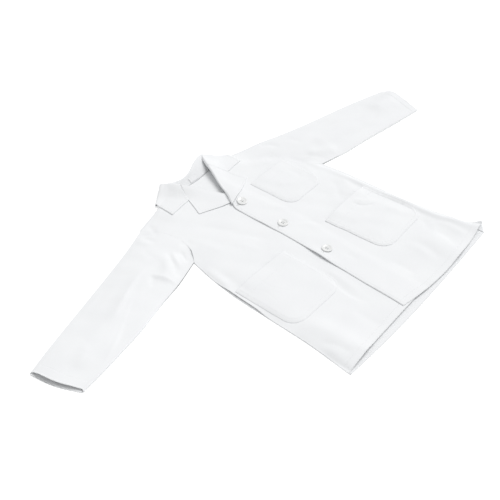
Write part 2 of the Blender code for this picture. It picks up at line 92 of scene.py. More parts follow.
ROLL = {s: [(-17 * s, 106), (0, 136), (19 * s, 175), (38 * s, 213)] for s in (RIGHT, LEFT)}
ROLL_RISE = {RIGHT: 7.0, LEFT: 12.0}
ROLL_LIFT = {RIGHT: 5.0, LEFT: 6.0}
OVERLAP = 1.3          # left front above right front
CROSSING = (10, 121, 28, 27)      # where the lapels cross: x, y, half width, half length
CROSSING_RISE = (4.6, 4.9)        # of the frame's and of the visible left front there
LOOSE_EDGE = ((-102, 28, 3.2), (28, 24, 0.8))   # the closing edge lifts: y, half length, height
ARMPIT_TUCK = (-170, 74, 20, 20, 3.4)
ROLL_RADIUS = (1.5, 3.0)
ROLL_STEPS = 11
LAPEL_TIP = {RIGHT: (-74, 136), LEFT: (67, 138)}
NOTCH = {RIGHT: (-58, 177), LEFT: (57, 178)}
COLLAR_TIP = {RIGHT: (-108, 172), LEFT: (103, 183)}
COLLAR_SHOULDER = {RIGHT: (-104, 220), LEFT: (107, 217)}
COLLAR_PEAK = {RIGHT: (-59, 247, 12.0), LEFT: (58, 248, 15.0)}
COLLAR_BACK = [(-44, 239, 9.0), (-22, 230, 9.0), (0, 230, 12.0), (20, 238, 15.0), (42, 246, 16.0)]
BACK_NECK_DROP = 12.0
NECK_STEPS = np.array([0, 28, 50, 62])
COLLAR_UNDERLAP = 188.0
HEM_BACK = (-297.0, 9.0)
HEM_LEFT = (-291.0, 14.0, 10.5)   # lowest y, its rise to the centre and to the side
HEM_RIGHT = -282.0

# Corner nearest the centre at the mouth, width, depth, corner radius, turn in degrees.
POCKETS = {
    "pocket_lower_left": (LEFT, (53, -56), 134, 130, 28, 1.5),
    "pocket_lower_right": (RIGHT, (-58, -46), 130, 128, 28, -1.5),
    "pocket_chest": (LEFT, (54, 118), 104, 100, 22, 0.0),
}
POCKET_FULLNESS = {"pocket_lower_left": 1.7, "pocket_lower_right": 0.35, "pocket_chest": 0.7}
BUTTONS = [(1, 96), (0, 0), (-8, -102)]
BUTTON_RADIUS = 9.7
BUTTON_SQUASH = 0.7
LABEL = (20.0, 12.0)

# Large soft folds of the frame: start, end, half width, height.
FOLDS = [
    ((236, -306), (214, -246), 36, 13.0),
    ((120, -300), (128, -236), 30, 4.0),
    ((-196, -300), (-188, -250), 26, 3.0),
    ((-535, 74), (-440, 70), 20, 5.5),
    ((535, 78), (440, 74), 20, 5.5),
    ((-440, 44), (-262, 96), 20, 2.2),
    ((262, 98), (470, 58), 17, 3.0),
    ((-196, 88), (-236, 70), 12, 3.0),
    ((214, 84), (246, 66), 12, 3.0),
]

# The visible hem lies closer to the back than the frame's, but for its very corner,
# and the opening of the right cuff is one of the creases below.
SOFT_FOLDS = [((236, -306), (214, -246), 30, 6.0), *FOLDS[1:3], *FOLDS[4:]]
CORNER = (231, -292, 19, 36, 14.0)     # x, y, half width, half length, height
CORNER_FLARE = (9.5, 28)               # how far the side swings out there, half length
BACK_CORNER = (211, -293)              # where the side seam ends on the back
SIDE_GAP = (3.2, 1.7)                  # how far the right side stands out and up

# Creases pressed into the cloth: spine, half width, height, lean to one side.
CREASES = [
    # right sleeve
    ([(-238, 112), (-290, 95), (-338, 76), (-380, 58)], 7, 2.2, -0.45),
    ([(-262, 98), (-312, 78), (-372, 44), (-420, 22)], 7, -1.5, 0.3),
    ([(-285, 88), (-344, 58), (-390, 31), (-440, 12)], 6, 2.0, -0.45),
    ([(-252, 94), (-245, 80), (-238, 62), (-233, 38)], 3.6, 1.5, 0.4),
    ([(-258, 94), (-252, 76), (-246, 52)], 6, -0.8, 0.0),
    ([(-246, 90), (-258, 80), (-270, 68)], 5, -1.4, 0.3),
    ([(-184, 116), (-195, 95), (-210, 72), (-226, 52)], 7, -2.4, 0.35),
    ([(-180, 108), (-192, 88), (-204, 64)], 5, 2.2, 0.0),
    ([(-170, 98), (-177, 82), (-184, 66)], 4, -2.2, 0.0),
    ([(-196, 118), (-210, 96), (-226, 74)], 7, 1.2, 0.0),
    ([(-176, 66), (-196, 62), (-226, 54)], 6, -1.6, 0.0),
    ([(-190, 186), (-176, 174), (-168, 160)], 4, -1.2, 0.0),
    ([(-182, 180), (-184, 162), (-181, 142)], 4, -1.2, 0.2),
    ([(-196, 178), (-196, 160), (-192, 140)], 5, 1.0, 0.0),
    ([(-206, 150), (-214, 128), (-212, 108)], 7, -0.9, 0.0),
    ([(-300, 128), (-350, 116), (-410, 100)], 9, -0.8, 0.0),
    ([(-420, 60), (-440, 48), (-470, 38)], 9, 1.0, 0.0),
    ([(-640, 84), (-560, 79), (-480, 72), (-400, 64)], 19, 2.9, 0.0),
    ([(-640, 36), (-560, 36), (-480, 38), (-410, 46)], 14, -1.4, 0.0),
    # left sleeve
    ([(168, 190), (184, 176), (190, 150)], 7, -1.6, 0.0),
    ([(196, 100), (208, 76), (222, 50)], 6, -0.9, 0.3),
    ([(186, 120), (206, 104), (240, 92)], 8, 0.6, 0.0),
    ([(250, 124), (300, 118), (350, 108)], 10, -0.8, 0.0),
    ([(300, 72), (350, 66), (400, 52)], 9, 1.0, 0.0),
    ([(216, 160), (228, 140), (226, 118)], 8, -0.9, 0.0),
    # right front
    ([(-150, 196), (-158, 176), (-170, 150)], 6, -1.2, 0.0),
    ([(-162, 108), (-150, 100), (-136, 98)], 6, -1.2, 0.0),
    ([(-140, 104), (-130, 70), (-126, 30)], 10, 1.0, 0.2),
    ([(-110, 126), (-90, 92), (-62, 44)], 9, -0.7, 0.0),
    ([(-84, 56), (-64, 26), (-46, -12)], 8, -0.8, 0.2),
    ([(-99, 38), (-88, 10), (-82, -20)], 8, 0.7, 0.0),
    ([(-84, -22), (-70, -57), (-70, -112)], 9, 0.8, 0.0),
    ([(-62, -112), (-68, -150), (-76, -200), (-72, -238)], 6, -1.3, 0.4),
    ([(-50, -120), (-54, -160), (-62, -210)], 7, 1.0, 0.0),
    ([(-176, 40), (-178, 10), (-186, -35)], 7, 1.6, 0.0),
    ([(-166, 20), (-172, -30), (-178, -80)], 9, -1.0, 0.0),
    ([(-196, -212), (-184, -240), (-182, -276)], 8, -1.6, 0.0),
    ([(-176, -150), (-166, -230), (-158, -330)], 20, 3.6, 0.0),
    ([(-100, -214), (-104, -250), (-100, -282)], 10, -1.0, 0.0),
    ([(-30, -200), (-36, -240), (-34, -280)], 10, 0.9, 0.0),
    # left front
    ([(90, 184), (120, 170), (146, 154), (172, 126)], 13, -3.8, 0.2),
    ([(96, 152), (124, 146), (150, 132)], 9, 1.0, 0.0),
    ([(164, 122), (176, 92), (180, 62)], 7, -1.6, 0.2),
    ([(176, 86), (184, 60), (186, 36)], 6, 1.4, 0.0),
    ([(170, 92), (160, 50), (132, 20)], 8, 0.9, 0.0),
    ([(172, 16), (146, -22), (118, -50)], 9, -1.2, 0.0),
    ([(186, 4), (170, -30), (160, -54)], 8, 1.0, 0.0),
    ([(14, -14), (36, -34), (46, -64)], 6, -0.9, 0.2),
    ([(10, 60), (30, 40), (42, 12)], 8, 0.7, 0.0),
    ([(4, -126), (4, -145), (2, -165)], 6, -0.8, 0.0),
    ([(36, -198), (36, -230), (34, -262)], 8, -1.1, 0.2),
    ([(90, -190), (92, -226), (84, -270)], 9, 0.9, 0.0),
    ([(190, -140), (196, -181), (198, -217), (206, -258)], 8, -2.0, 0.3),
    ([(172, -184), (160, -204), (143, -220)], 7, -1.2, 0.0),
    ([(152, -220), (152, -250), (140, -284)], 9, -1.6, 0.2),
    ([(176, -210), (180, -240), (176, -284)], 9, 1.8, 0.0),
    ([(108, -206), (104, -240), (92, -284)], 9, -1.0, 0.0),
    ([(194, -60), (194, -130), (198, -210), (206, -310)], 12, 3.2, 0.3),
    ([(188, 70), (190, 0), (190, -60), (190, -120), (193, -190), (200, -290)], 8, 4.2, 0.3),
]
POCKET_CREASES = [
    ([(126, -62), (128, -78), (140, -94), (160, -102)], 4, -1.2, -0.4),
    ([(134, -56), (138, -72), (150, -86), (166, -92)], 6, 1.2, 0.0),
    ([(74, -90), (96, -104), (120, -110)], 9, 0.7, 0.0),
    ([(150, -120), (160, -140), (150, -160)], 8, 0.8, 0.0),
    ([(130, 96), (138, 74), (128, 52)], 7, -0.8, 0.0),
    ([(84, 84), (98, 66), (118, 58)], 8, 0.7, 0.0),
]

# Hems and stitching.
HEM_DEPTH = 12.0
CUFF_DEPTH = 15.0
CUFF_BOW = 4.5
CUFF_STEP = 4.8        # the upper ply of a cuff ends this much short of the lower one
SLEEVE_LIFT = {RIGHT: (395, 95, 4.2), LEFT: (385, 120, 4.4)}   # |x|, half length, height
EDGE_INSET = 5.0
POCKET_INSETS = (1.8, 7.5)
POCKET_HEM = 22.0
STITCH_PITCH = 3.1
STITCH_LENGTH = 2.5
STITCH_WIDTH = 0.42

# Light: a white studio, a soft key from the wearer's left, and a pale paper floor.
WORLD_STRENGTH = 0.62
KEY_FROM = (0.80, -0.10, 1.36)
KEY_STRENGTH = 1.74
KEY_SPREAD = 34.0      # degrees
FLOOR_GLOW = 0.3
FLOOR_WHITE = 0.93
FLOOR_SIZE = 80        # metres

CAMERA_PLACE = (-0.92780, -0.66563, 0.96003)
CAMERA_BACK = (-0.58256, -0.46595, 0.66597)
CAMERA_LENS = 59.098
CAMERA_SENSOR = 36.0


# ---------------------------------------------------------------- curves

def even(line, count):
    """Resample a polyline at equal steps of its length."""
    line = np.array(line, float)
    run = distances(line)
    return between(np.linspace(0, run[-1], count), run, line)


def spline(points, count):
    """Evenly spaced points along a smooth curve through the given ones."""
    p = np.array(points, float)
    p = np.vstack([2 * p[0] - p[1], p, 2 * p[-1] - p[-2]])
    t = np.linspace(0, 1, 25)[:, None]
    pieces = []
    for a, b, c, d in zip(p[:-3], p[1:-2], p[2:-1], p[3:]):
        cubic = 2 * b + (c - a) * t + (2 * a - 5 * b + 4 * c - d) * t ** 2
        cubic = cubic + (3 * b - a - 3 * c + d) * t ** 3
        pieces.append(0.5 * cubic)
    return even(np.vstack(pieces), count)


def resample(grid, places, axis):
    """Rows (or columns) of a smooth surface through a grid, at fractional places."""
    g = np.moveaxis(grid, axis, 0)
    k = np.minimum(places.astype(int), len(g) - 2)
    t = (places - k).reshape((-1,) + (1,) * (g.ndim - 1))
    g = np.concatenate([2 * g[:1] - g[1:2], g, 2 * g[-1:] - g[-2:-1]])
    a, b, c, d = g[k], g[k + 1], g[k + 2], g[k + 3]
    cubic = 2 * b + (c - a) * t + (2 * a - 5 * b + 4 * c - d) * t ** 2
    cubic = 0.5 * (cubic + (3 * b - a - 3 * c + d) * t ** 3)
    return np.moveaxis(cubic, 0, axis)


def steps(line):
    return np.linalg.norm(np.diff(line, axis=0), axis=1)


def distances(line):
    """Distance from a polyline's first point to each of its points."""
    return np.r_[0, np.cumsum(steps(line))]


def between(spots, index, points):
    """Points at fractional places of an index along a polyline."""
    return np.stack([np.interp(spots, index, column) for column in points.T], axis=1)


def nearest(x, y, line):
    """Distance to a polyline, the share of its length so far, and which side of it."""
    best = np.full(np.shape(x), 1e9)
    along = np.zeros(np.shape(x))
    sign = np.ones(np.shape(x))
    count = len(line) - 1
    for k in range(count):
        a, b = line[k, :2], line[k + 1, :2]
        ab = b - a
        px, py = x - a[0], y - a[1]
        t = np.clip((px * ab[0] + py * ab[1]) / (ab @ ab), 0, 1)
        d = np.hypot(px - t * ab[0], py - t * ab[1])
        nearer = d < best
        best = np.where(nearer, d, best)
        along = np.where(nearer, (k + t) / count, along)
        sign = np.where(nearer, np.sign(ab[0] * py - ab[1] * px), sign)
    return best, along, sign


def ease(t):
    t = np.clip(t, 0, 1)
    return t * t * (3 - 2 * t)


def bell(t):
    return np.exp(-t ** 2)


def mound(x, y, middle_x, middle_y, wide, long, height=1.0):
    """A soft round rise with its own half width along x and half length along y."""
    return height * np.exp(-((x - middle_x) / wide) ** 2 - ((y - middle_y) / long) ** 2)


def x_at(curve, y):
    return np.interp(y, curve[:, 1], curve[:, 0])


def unit(v):
    v = np.array(v, float)
    return v / np.linalg.norm(v)


def length_of(line):
    return float(steps(line).sum())


SIDE_LINE = {s: spline(SIDE[s], 40) for s in SIDE}
ARMHOLE_LINE = {s: spline(ARMHOLE[s], 40) for s in ARMHOLE}
EDGE_LINE = {s: spline(FRONT_EDGE[s], 60) for s in FRONT_EDGE}
ROLL_LINE = {s: spline(ROLL[s], 40) for s in ROLL}
TOP_LINE = {s: spline(SLEEVE_TOP[s], 40) for s in SLEEVE_TOP}
UNDER_LINE = {s: spline(SLEEVE_UNDER[s], 40) for s in SLEEVE_UNDER}


# ---------------------------------------------------------------- heights

def closed_edge_distance(x, y):
    """Distance to the nearest edge where front and back are joined."""
    best = np.full(np.shape(x), 1e9)
    for s in (RIGHT, LEFT):
        shoulder = np.array([NECK_POINT[s], SHOULDER_TIP[s]], float)
        for line in (SIDE_LINE[s], shoulder, TOP_LINE[s], UNDER_LINE[s]):
            best = np.minimum(best, nearest(x, y, line)[0])
    return best


def near_neck(x, y):
    return ease((y - 140) / 46) * ease((134 - np.abs(x)) / 42)


def back_mid(x, y):
    """Middle of the frame's back: flat, but lifted over the collar at the neck."""
    return CLOTH / 2 + STACK * near_neck(x, y)


def frame_upper(x, y, folds=FOLDS):
    """Middle of the frame's layer above the back, over body and sleeves alike."""
    d = closed_edge_distance(x, y)
    crown = BODY_CROWN + (SLEEVE_CROWN - BODY_CROWN) * ease((np.abs(x) - 170) / 60)
    rise = crown * (1 - np.exp(-(d / CROWN_REACH) ** 1.5))
    fold = 0.0
    for start, end, width, height in folds:
        away = nearest(x, y, np.array([start, end], float))[0]
        fold = fold + height * bell(away / width)
    inside = near_neck(x, y)
    slack = 1.4 * inside * (1 - inside)
    return back_mid(x, y) + CLOTH + SEAM + rise + fold * ease(d / 12) + slack


def pressed(x, y, creases):
    """Height of the listed creases; each fades out towards both of its ends."""
    total = np.zeros(np.shape(x))
    for spine, width, height, lean in creases:
        line = spline(spine, 4 * len(spine))
        low, high = line.min(0) - 3 * width, line.max(0) + 3 * width
        near = (x > low[0]) & (x < high[0]) & (y > low[1]) & (y < high[1])
        if near.any():
            d, along, sign = nearest(x[near], y[near], line)
            d = d / (width * (1 + lean * sign))
            taper = ease(along * 3) * ease((1 - along) * 3)
            total[near] += height * np.exp(-d ** 1.8) * taper
    return total


def random_field(x, y, seed, shortest, longest, waves):
    """Smooth random relief with a mean square of one half for each wave."""
    rng = np.random.default_rng(seed)
    total = np.zeros(np.shape(x))
    for _ in range(waves):
        wavelength = rng.uniform(shortest, longest)
        angle = rng.uniform(0, np.pi)
        phase = rng.uniform(0, 2 * np.pi)
        along = x * np.cos(angle) + y * np.sin(angle)
        total += np.sin(2 * np.pi * along / wavelength + phase)
    return total


def rumple(x, y):
    """Slight unevenness of washed and pressed cotton: soft waves and a few faint creases."""
    soft = 0.09 * random_field(x, y, 11, 34, 105, 16)
    lines = random_field(x, y, 5, 40, 120, 9) / 2.1
    patch = ease(random_field(x, y, 23, 90, 220, 7) / 2.6)
    return soft - 0.14 * bell(lines / 0.13) * patch


def armhole_distance(x, y):
    return np.minimum(nearest(x, y, ARMHOLE_LINE[RIGHT])[0], nearest(x, y, ARMHOLE_LINE[LEFT])[0])


def side_gap(x, y):
    """Where the right front stands off the back along the side: 0 to 1."""
    return np.exp(-((y + 62) / 46) ** 4) * (x < -100)


def front_side_x(y, side):
    x = x_at(SIDE_LINE[side], y)
    reach, long = CORNER_FLARE
    flare = reach * bell((y + 290) / long) * (side == LEFT)
    return x + SIDE_GAP[0] * side_gap(x, y) + flare


def upper_mid(x, y):
    """Middle of the visible layer above the back."""
    d = closed_edge_distance(x, y)
    z = frame_upper(x, y, SOFT_FOLDS) - 0.35 * bell(d / 5)
    z = z - 1.6 * ease((-236 - y) / 50)
    z = z + pressed(x, y, CREASES) * ease(d / 5) + rumple(x, y) * ease(d / 9)
    z = z + SIDE_GAP[1] * side_gap(x, y) * bell(d / 8)
    z = z + mound(x, y, *CORNER) * ease((front_side_x(y, LEFT) - x) / 4.5)
    arm = armhole_distance(x, y)
    z = z - 0.08 * bell(arm / 2.2)
    lowest = back_mid(x, y) + WALL - CLOTH / 2 + WALL / 2 + 0.06
    return 0.5 * (z + lowest + np.sqrt((z - lowest) ** 2 + 0.05))


def frame_front(x, y, side):
    """Middle of the frame's front; the left one is the outer one."""
    d, along, _ = nearest(x, y, ROLL_LINE[side])
    z = frame_upper(x, y) + ROLL_RISE[side] * ease(along * 1.05) * bell(d / ROLL_REACH)
    if side == LEFT:
        over = x_at(EDGE_LINE[RIGHT], y)
        z = z + STACK * ease((over + 22 - x) / 18)
        z = z + mound(x, y, *CROSSING, CROSSING_RISE[0])
    return z


def front_mid(x, y, side):
    """Middle of a visible front, which lies closer than the frame's."""
    d, along, _ = nearest(x, y, ROLL_LINE[side])
    lift = ROLL_LIFT[side] * ease((along * 1.05 - 0.2) / 0.82) ** 2.3
    z = upper_mid(x, y) + lift * bell(d / ROLL_REACH)
    if side == LEFT:
        over = x_at(EDGE_LINE[RIGHT], y)
        z = z + OVERLAP * ease((over + 22 - x) / 18)
        z = z + mound(x, y, *CROSSING, CROSSING_RISE[1])
        inside = x - x_at(EDGE_LINE[LEFT], y)
        loose = sum(height * bell((y - middle) / long) for middle, long, height in LOOSE_EDGE)
        z = z + loose * bell(inside / 12)
    return z


def puckers(distance_along):
    """Small regular gathers that a row of machine stitches draws up."""
    s = distance_along
    return (np.sin(s / 1.75) + 0.8 * np.sin(s / 2.31 + 1.3) + 0.6 * np.sin(s / 3.1 + 0.4)) / 2.4


def turned_edge(d, along, inset, bulk, pull=0.5):
    """Extra cloth from a turned edge out to its stitching, with a groove along the stitches."""
    thick = bulk * (1 - ease((d - inset + 1.6) / 2.6))
    groove = 0.28 * pull * bell((d - inset) / 0.9)
    gather = 0.2 * pull * puckers(along) * bell((d - inset) / 3.6)
    return thick - groove + gather


# ---------------------------------------------------------------- meshes

def make_object(name, verts, faces, material, uv=None):
    """A mesh object in metres, shaded smooth; uv holds millimetres of cloth per vertex."""
    mesh = bpy.data.meshes.new(name)
    mesh.from_pydata((np.asarray(verts) * MM).tolist(), [], faces)
    mesh.shade_smooth()
    if uv is not None:
        layer = mesh.uv_layers.new(name="cloth")
        loops = np.zeros(len(mesh.loops), int)
        mesh.loops.foreach_get("vertex_index", loops)
        layer.data.foreach_set("uv", np.asarray(uv)[loops].astype(np.float32).ravel())
    mesh.materials.append(material)
    obj = bpy.data.objects.new(name, mesh)
    bpy.context.scene.collection.objects.link(obj)
    return obj


def quads(rows, columns, base, flip):
    """Faces of a grid of points, as an array of corner numbers."""
    i, j = np.meshgrid(np.arange(rows - 1), np.arange(columns - 1), indexing="ij")
    a = (base + i * columns + j).ravel()
    faces = np.stack([a, a + columns, a + columns + 1, a + 1], axis=1)
    return faces[:, ::-1] if flip else faces


def normals_of(grid):
    n = np.cross(np.gradient(grid, axis=0), np.gradient(grid, axis=1))
    return n / np.maximum(np.linalg.norm(n, axis=-1, keepdims=True), 1e-9)


def faces_up(grid):
    return normals_of(grid)[..., 2].sum() > 0


def cloth_uv(grid):
    """Distances along the rows and the columns of a grid, in millimetres."""
    down = np.linalg.norm(np.diff(grid, axis=0), axis=2)
    across = np.linalg.norm(np.diff(grid, axis=1), axis=2)
    v = np.vstack([np.zeros(grid.shape[1]), np.cumsum(down, axis=0)])
    u = np.hstack([np.zeros((grid.shape[0], 1)), np.cumsum(across, axis=1)])
    return np.dstack([u, v])


def rim_of(rows, columns):
    """Numbers of the points around the outside of a grid, in order."""
    rim = [i * columns for i in range(rows)]
    rim += [(rows - 1) * columns + j for j in range(1, columns)]
    rim += [i * columns + columns - 1 for i in range(rows - 2, -1, -1)]
    return rim + [j for j in range(columns - 2, 0, -1)]


def units(vectors):
    return vectors / np.maximum(np.linalg.norm(vectors, axis=1, keepdims=True), 1e-9)


def closed_wall(name, top, bottom, edge, up, material, uv):
    """Two faces of a cloth wall joined all round through a row of edge points."""
    rows, columns = top.shape[:2]
    count = rows * columns
    ring = np.array(rim_of(rows, columns))
    following = np.roll(ring, -1)
    k = 2 * count + np.arange(len(ring))
    k_next = np.roll(k, -1)
    walls = [np.stack([ring, k, k_next, following], axis=1),
             np.stack([k, ring + count, following + count, k_next], axis=1)]
    if not up:
        walls = [w[:, ::-1] for w in walls]
    faces = [quads(rows, columns, 0, not up), quads(rows, columns, count, up), *walls]
    verts = np.vstack([top.reshape(-1, 3), bottom.reshape(-1, 3), edge])
    flat_uv = uv.reshape(-1, 2)
    all_uv = np.vstack([flat_uv, flat_uv, flat_uv[ring]])
    return make_object(name, verts, np.vstack(faces).tolist(), material, all_uv)


def shell(name, mid, above, below, material, uv=None):
    """A cloth wall around a middle surface, its cut edges rounded."""
    n = normals_of(mid)
    if n[..., 2].sum() < 0:
        n = -n
    top = mid + n * np.broadcast_to(above, mid.shape[:2])[..., None]
    bottom = mid - n * np.broadcast_to(below, mid.shape[:2])[..., None]
    rim = rim_of(*mid.shape[:2])
    flat_mid = ((top + bottom) / 2).reshape(-1, 3)
    loop = flat_mid[rim]
    tangent = np.roll(loop, -1, axis=0) - np.roll(loop, 1, axis=0)
    out = units(np.cross(tangent, n.reshape(-1, 3)[rim]))
    if ((loop - flat_mid.mean(0)) * out).sum() < 0:
        out = -out
    uv = cloth_uv(mid) if uv is None else uv
    obj = closed_wall(name, top, bottom, loop + out * RIM, faces_up(mid), material, uv)
    return obj, top, n


def with_height(plan, height):
    return np.dstack([plan, height(plan[..., 0], plan[..., 1])])


def places(lengths, step):
    """Fractional rows that split each span into steps no longer than the given one."""
    spots = [0.0]
    for k, length in enumerate(lengths):
        count = max(1, math.ceil(length / step))
        spots += list(k + np.arange(1, count + 1) / count)
    return np.array(spots)


def with_fine_bands(total, step, bands, fine=0.7, reach=2.1):
    """Distances from 0 to total, closer together around each band."""
    spots = np.r_[np.arange(0, total, step), total]
    for band in bands:
        spots = spots[(spots < band - reach) | (spots > band + reach)]
        spots = np.r_[spots, np.arange(band - reach, band + reach + 0.01, fine)]
    spots = np.sort(spots[(spots >= 0) & (spots <= total)])
    return np.unique(np.r_[0.0, spots, total])


# ---------------------------------------------------------------- materials

def fill(tree, made, inputs):
    """Set each named input to a value, or link it to another node's output."""
    for slot, value in inputs.items():
        if isinstance(value, bpy.types.NodeSocket):
            tree.links.new(value, made.inputs[slot])
        else:
            made.inputs[slot].default_value = value
    return made


def node(tree, kind, inputs, **settings):
    made = tree.nodes.new(kind)
    for key, value in settings.items():
        setattr(made, key, value)
    return fill(tree, made, inputs)


def maths(tree, operation, *values):
    return node(tree, "ShaderNodeMath", dict(enumerate(values)), operation=operation).outputs[0]


def noise(tree, place, scale, **inputs):
    inputs = {"Scale": scale, "Vector": place, **inputs}
    return node(tree, "ShaderNodeTexNoise", inputs).outputs["Fac"]


def object_place(tree):
    return node(tree, "ShaderNodeTexCoord", {}).outputs["Object"]


def new_material(name, constants):
    """A material, its node tree and its shader with constant values set on it."""
    material = bpy.data.materials.new(name)
    material.use_nodes = True
    tree = material.node_tree
    return material, tree, fill(tree, tree.nodes["Principled BSDF"], constants)


def dress(tree, shader, colours, relief, roughness):
    """Colour, fine relief and roughness of a shader, each from its own pattern."""
    pattern, low, high = colours
    ramp = node(tree, "ShaderNodeValToRGB", {0: pattern})
    for element, (position, colour) in zip(ramp.color_ramp.elements, (low, high)):
        element.position = position
        element.color = (*colour, 1)
    height, strength, depth = relief
    bump = node(tree, "ShaderNodeBump", {"Strength": strength, "Distance": depth, "Height": height})
    value, least, most = roughness
    rough = node(tree, "ShaderNodeMapRange", {"To Min": least, "To Max": most, "Value": value})
    fill(tree, shader, {"Base Color": ramp.outputs[0], "Normal": bump.outputs[0],
                        "Roughness": rough.outputs[0]})


def cloth_material(name, light, dark, period=0.5, relief=0.00003, roughness=0.86, sheen=0.12):
    """Woven cloth: thread relief from the cloth's own coordinates, faint mottling of its white."""
    material, tree, shader = new_material(name, {
        "Sheen Weight": sheen, "Sheen Roughness": 0.6, "Specular IOR Level": 0.3})
    cloth_place = node(tree, "ShaderNodeUVMap", {}, uv_map="cloth").outputs[0]
    split = node(tree, "ShaderNodeSeparateXYZ", {0: cloth_place})
    turns = [maths(tree, "MULTIPLY", split.outputs[axis], 2 * math.pi / period) for axis in "XY"]
    crossing = maths(tree, "MULTIPLY", *[maths(tree, "SINE", turn) for turn in turns])
    twill = maths(tree, "SINE", maths(tree, "ADD", *turns))
    threads = maths(tree, "ADD", crossing, twill)
    place = object_place(tree)
    slub = noise(tree, place, 900.0, Detail=3.0)
    mottle = noise(tree, place, 16.0, Detail=4.0)
    height = maths(tree, "MULTIPLY_ADD", threads, 0.3, slub)
    shade = maths(tree, "MULTIPLY_ADD", threads, 0.12, mottle)
    dress(tree, shader, (shade, (0.2, dark), (0.7, light)), (height, 0.35, relief),
          (mottle, roughness - 0.05, roughness + 0.05))
    return material


def plastic_material(name):
    """White pearl-like polyester: soft gloss, faint swirls, tiny mould marks."""
    material, tree, shader = new_material(name, {
        "IOR": 1.5, "Coat Weight": 0.25, "Coat Roughness": 0.12})
    swirl = noise(tree, object_place(tree), 160.0, Distortion=1.6)
    dress(tree, shader, (swirl, (0.3, (0.74, 0.75, 0.75)), (0.7, (0.83, 0.83, 0.82))),
          (swirl, 0.15, 0.00005), (swirl, 0.22, 0.36))
    return material


WHITE = ((0.835, 0.845, 0.855), (0.805, 0.815, 0.83))


def white_cloth(name):
    return cloth_material(name + "_weave", *WHITE)


THREAD = cloth_material("thread", (0.85, 0.855, 0.86), (0.80, 0.81, 0.82), 0.3, 0.00004, 0.6, 0.3)


# ---------------------------------------------------------------- stitches

def stitch_template(stations=5, around=4):
    """One stitch, 1 long and 1 wide: sunk at both ends, proud in the middle."""
    t = np.linspace(-1, 1, stations)
    radius = 0.5 * np.array([0.45, 0.9, 1.0, 0.9, 0.45])
    rise = 0.5 * (1 - t ** 2) - 0.25
    turn = 2 * np.pi * (np.arange(around) + 0.5) / around
    verts = np.zeros((stations, around, 3))
    verts[..., 0] = t[:, None] / 2
    verts[..., 1] = radius[:, None] * np.cos(turn)
    verts[..., 2] = radius[:, None] * np.sin(turn) + rise[:, None]
    faces = []
    for i in range(stations - 1):
        for j in range(around):
            k = (j + 1) % around
            faces.append((i * around + j, i * around + k, (i + 1) * around + k, (i + 1) * around + j))
    last = (stations - 1) * around
    faces.append(tuple(last + j for j in range(around)))
    faces.append(tuple(reversed(range(around))))
    return verts.reshape(-1, 3), np.array(faces)


TEMPLATE = stitch_template()


def bars(name, centres, directions, normals, length, width):
    """Many short threads in one mesh, each lying along its direction on its surface."""
    verts, faces = TEMPLATE
    directions = units(directions)
    across = units(np.cross(normals, directions))
    placed = (centres[:, None] + verts[None, :, :1] * length * directions[:, None]
              + verts[None, :, 1:2] * width * across[:, None]
              + verts[None, :, 2:] * width * normals[:, None])
    offsets = np.arange(len(centres))[:, None, None] * len(verts)
    all_faces = (faces[None] + offsets).reshape(-1, 4)
    uv = placed.reshape(-1, 3)[:, :2]
    return make_object(name, placed.reshape(-1, 3), all_faces.tolist(), THREAD, uv)


def along_line(points, normals, pitch=STITCH_PITCH):
    """Stitch centres, directions and normals along a line on a surface."""
    count = max(3, int(length_of(points) / pitch))
    run = distances(points)
    middle = (np.arange(count) + 0.5) * run[-1] / count
    direction = between(middle + 0.6, run, points) - between(middle - 0.6, run, points)
    return between(middle, run, points), direction, units(between(middle, run, normals))


def surface_line(plan, height):
    """A plan line laid on a height function, with the surface's normals."""
    x, y = plan[:, 0], plan[:, 1]
    z = height(x, y)
    gap = 1.0
    nx = -(height(x + gap, y) - height(x - gap, y)) / (2 * gap)
    ny = -(height(x, y + gap) - height(x, y - gap)) / (2 * gap)
    return np.column_stack([plan, z]), units(np.stack([nx, ny, np.ones_like(nx)], axis=1))


def finish_piece(obj, nodes=()):
    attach(obj, "root")
    if nodes:
        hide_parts(*nodes)
    return obj


def sew(name, lines):
    """One piece of stitches from several (points, normals) lines."""
    parts = [along_line(points, normals) for points, normals in lines]
    centres, directions, normals = (np.vstack([p[k] for p in parts]) for k in range(3))
    return finish_piece(bars(name, centres, directions, normals, STITCH_LENGTH, STITCH_WIDTH))


# ---------------------------------------------------------------- back and fronts

def neck_edge(x):
    """y of the back's neck hollow."""
    neck_x, neck_y = NECK_POINT[LEFT]
    y = neck_y - BACK_NECK_DROP * np.sqrt(1 - (NECK_STEPS / neck_x) ** 2)
    return np.interp(np.abs(x), NECK_STEPS, y)


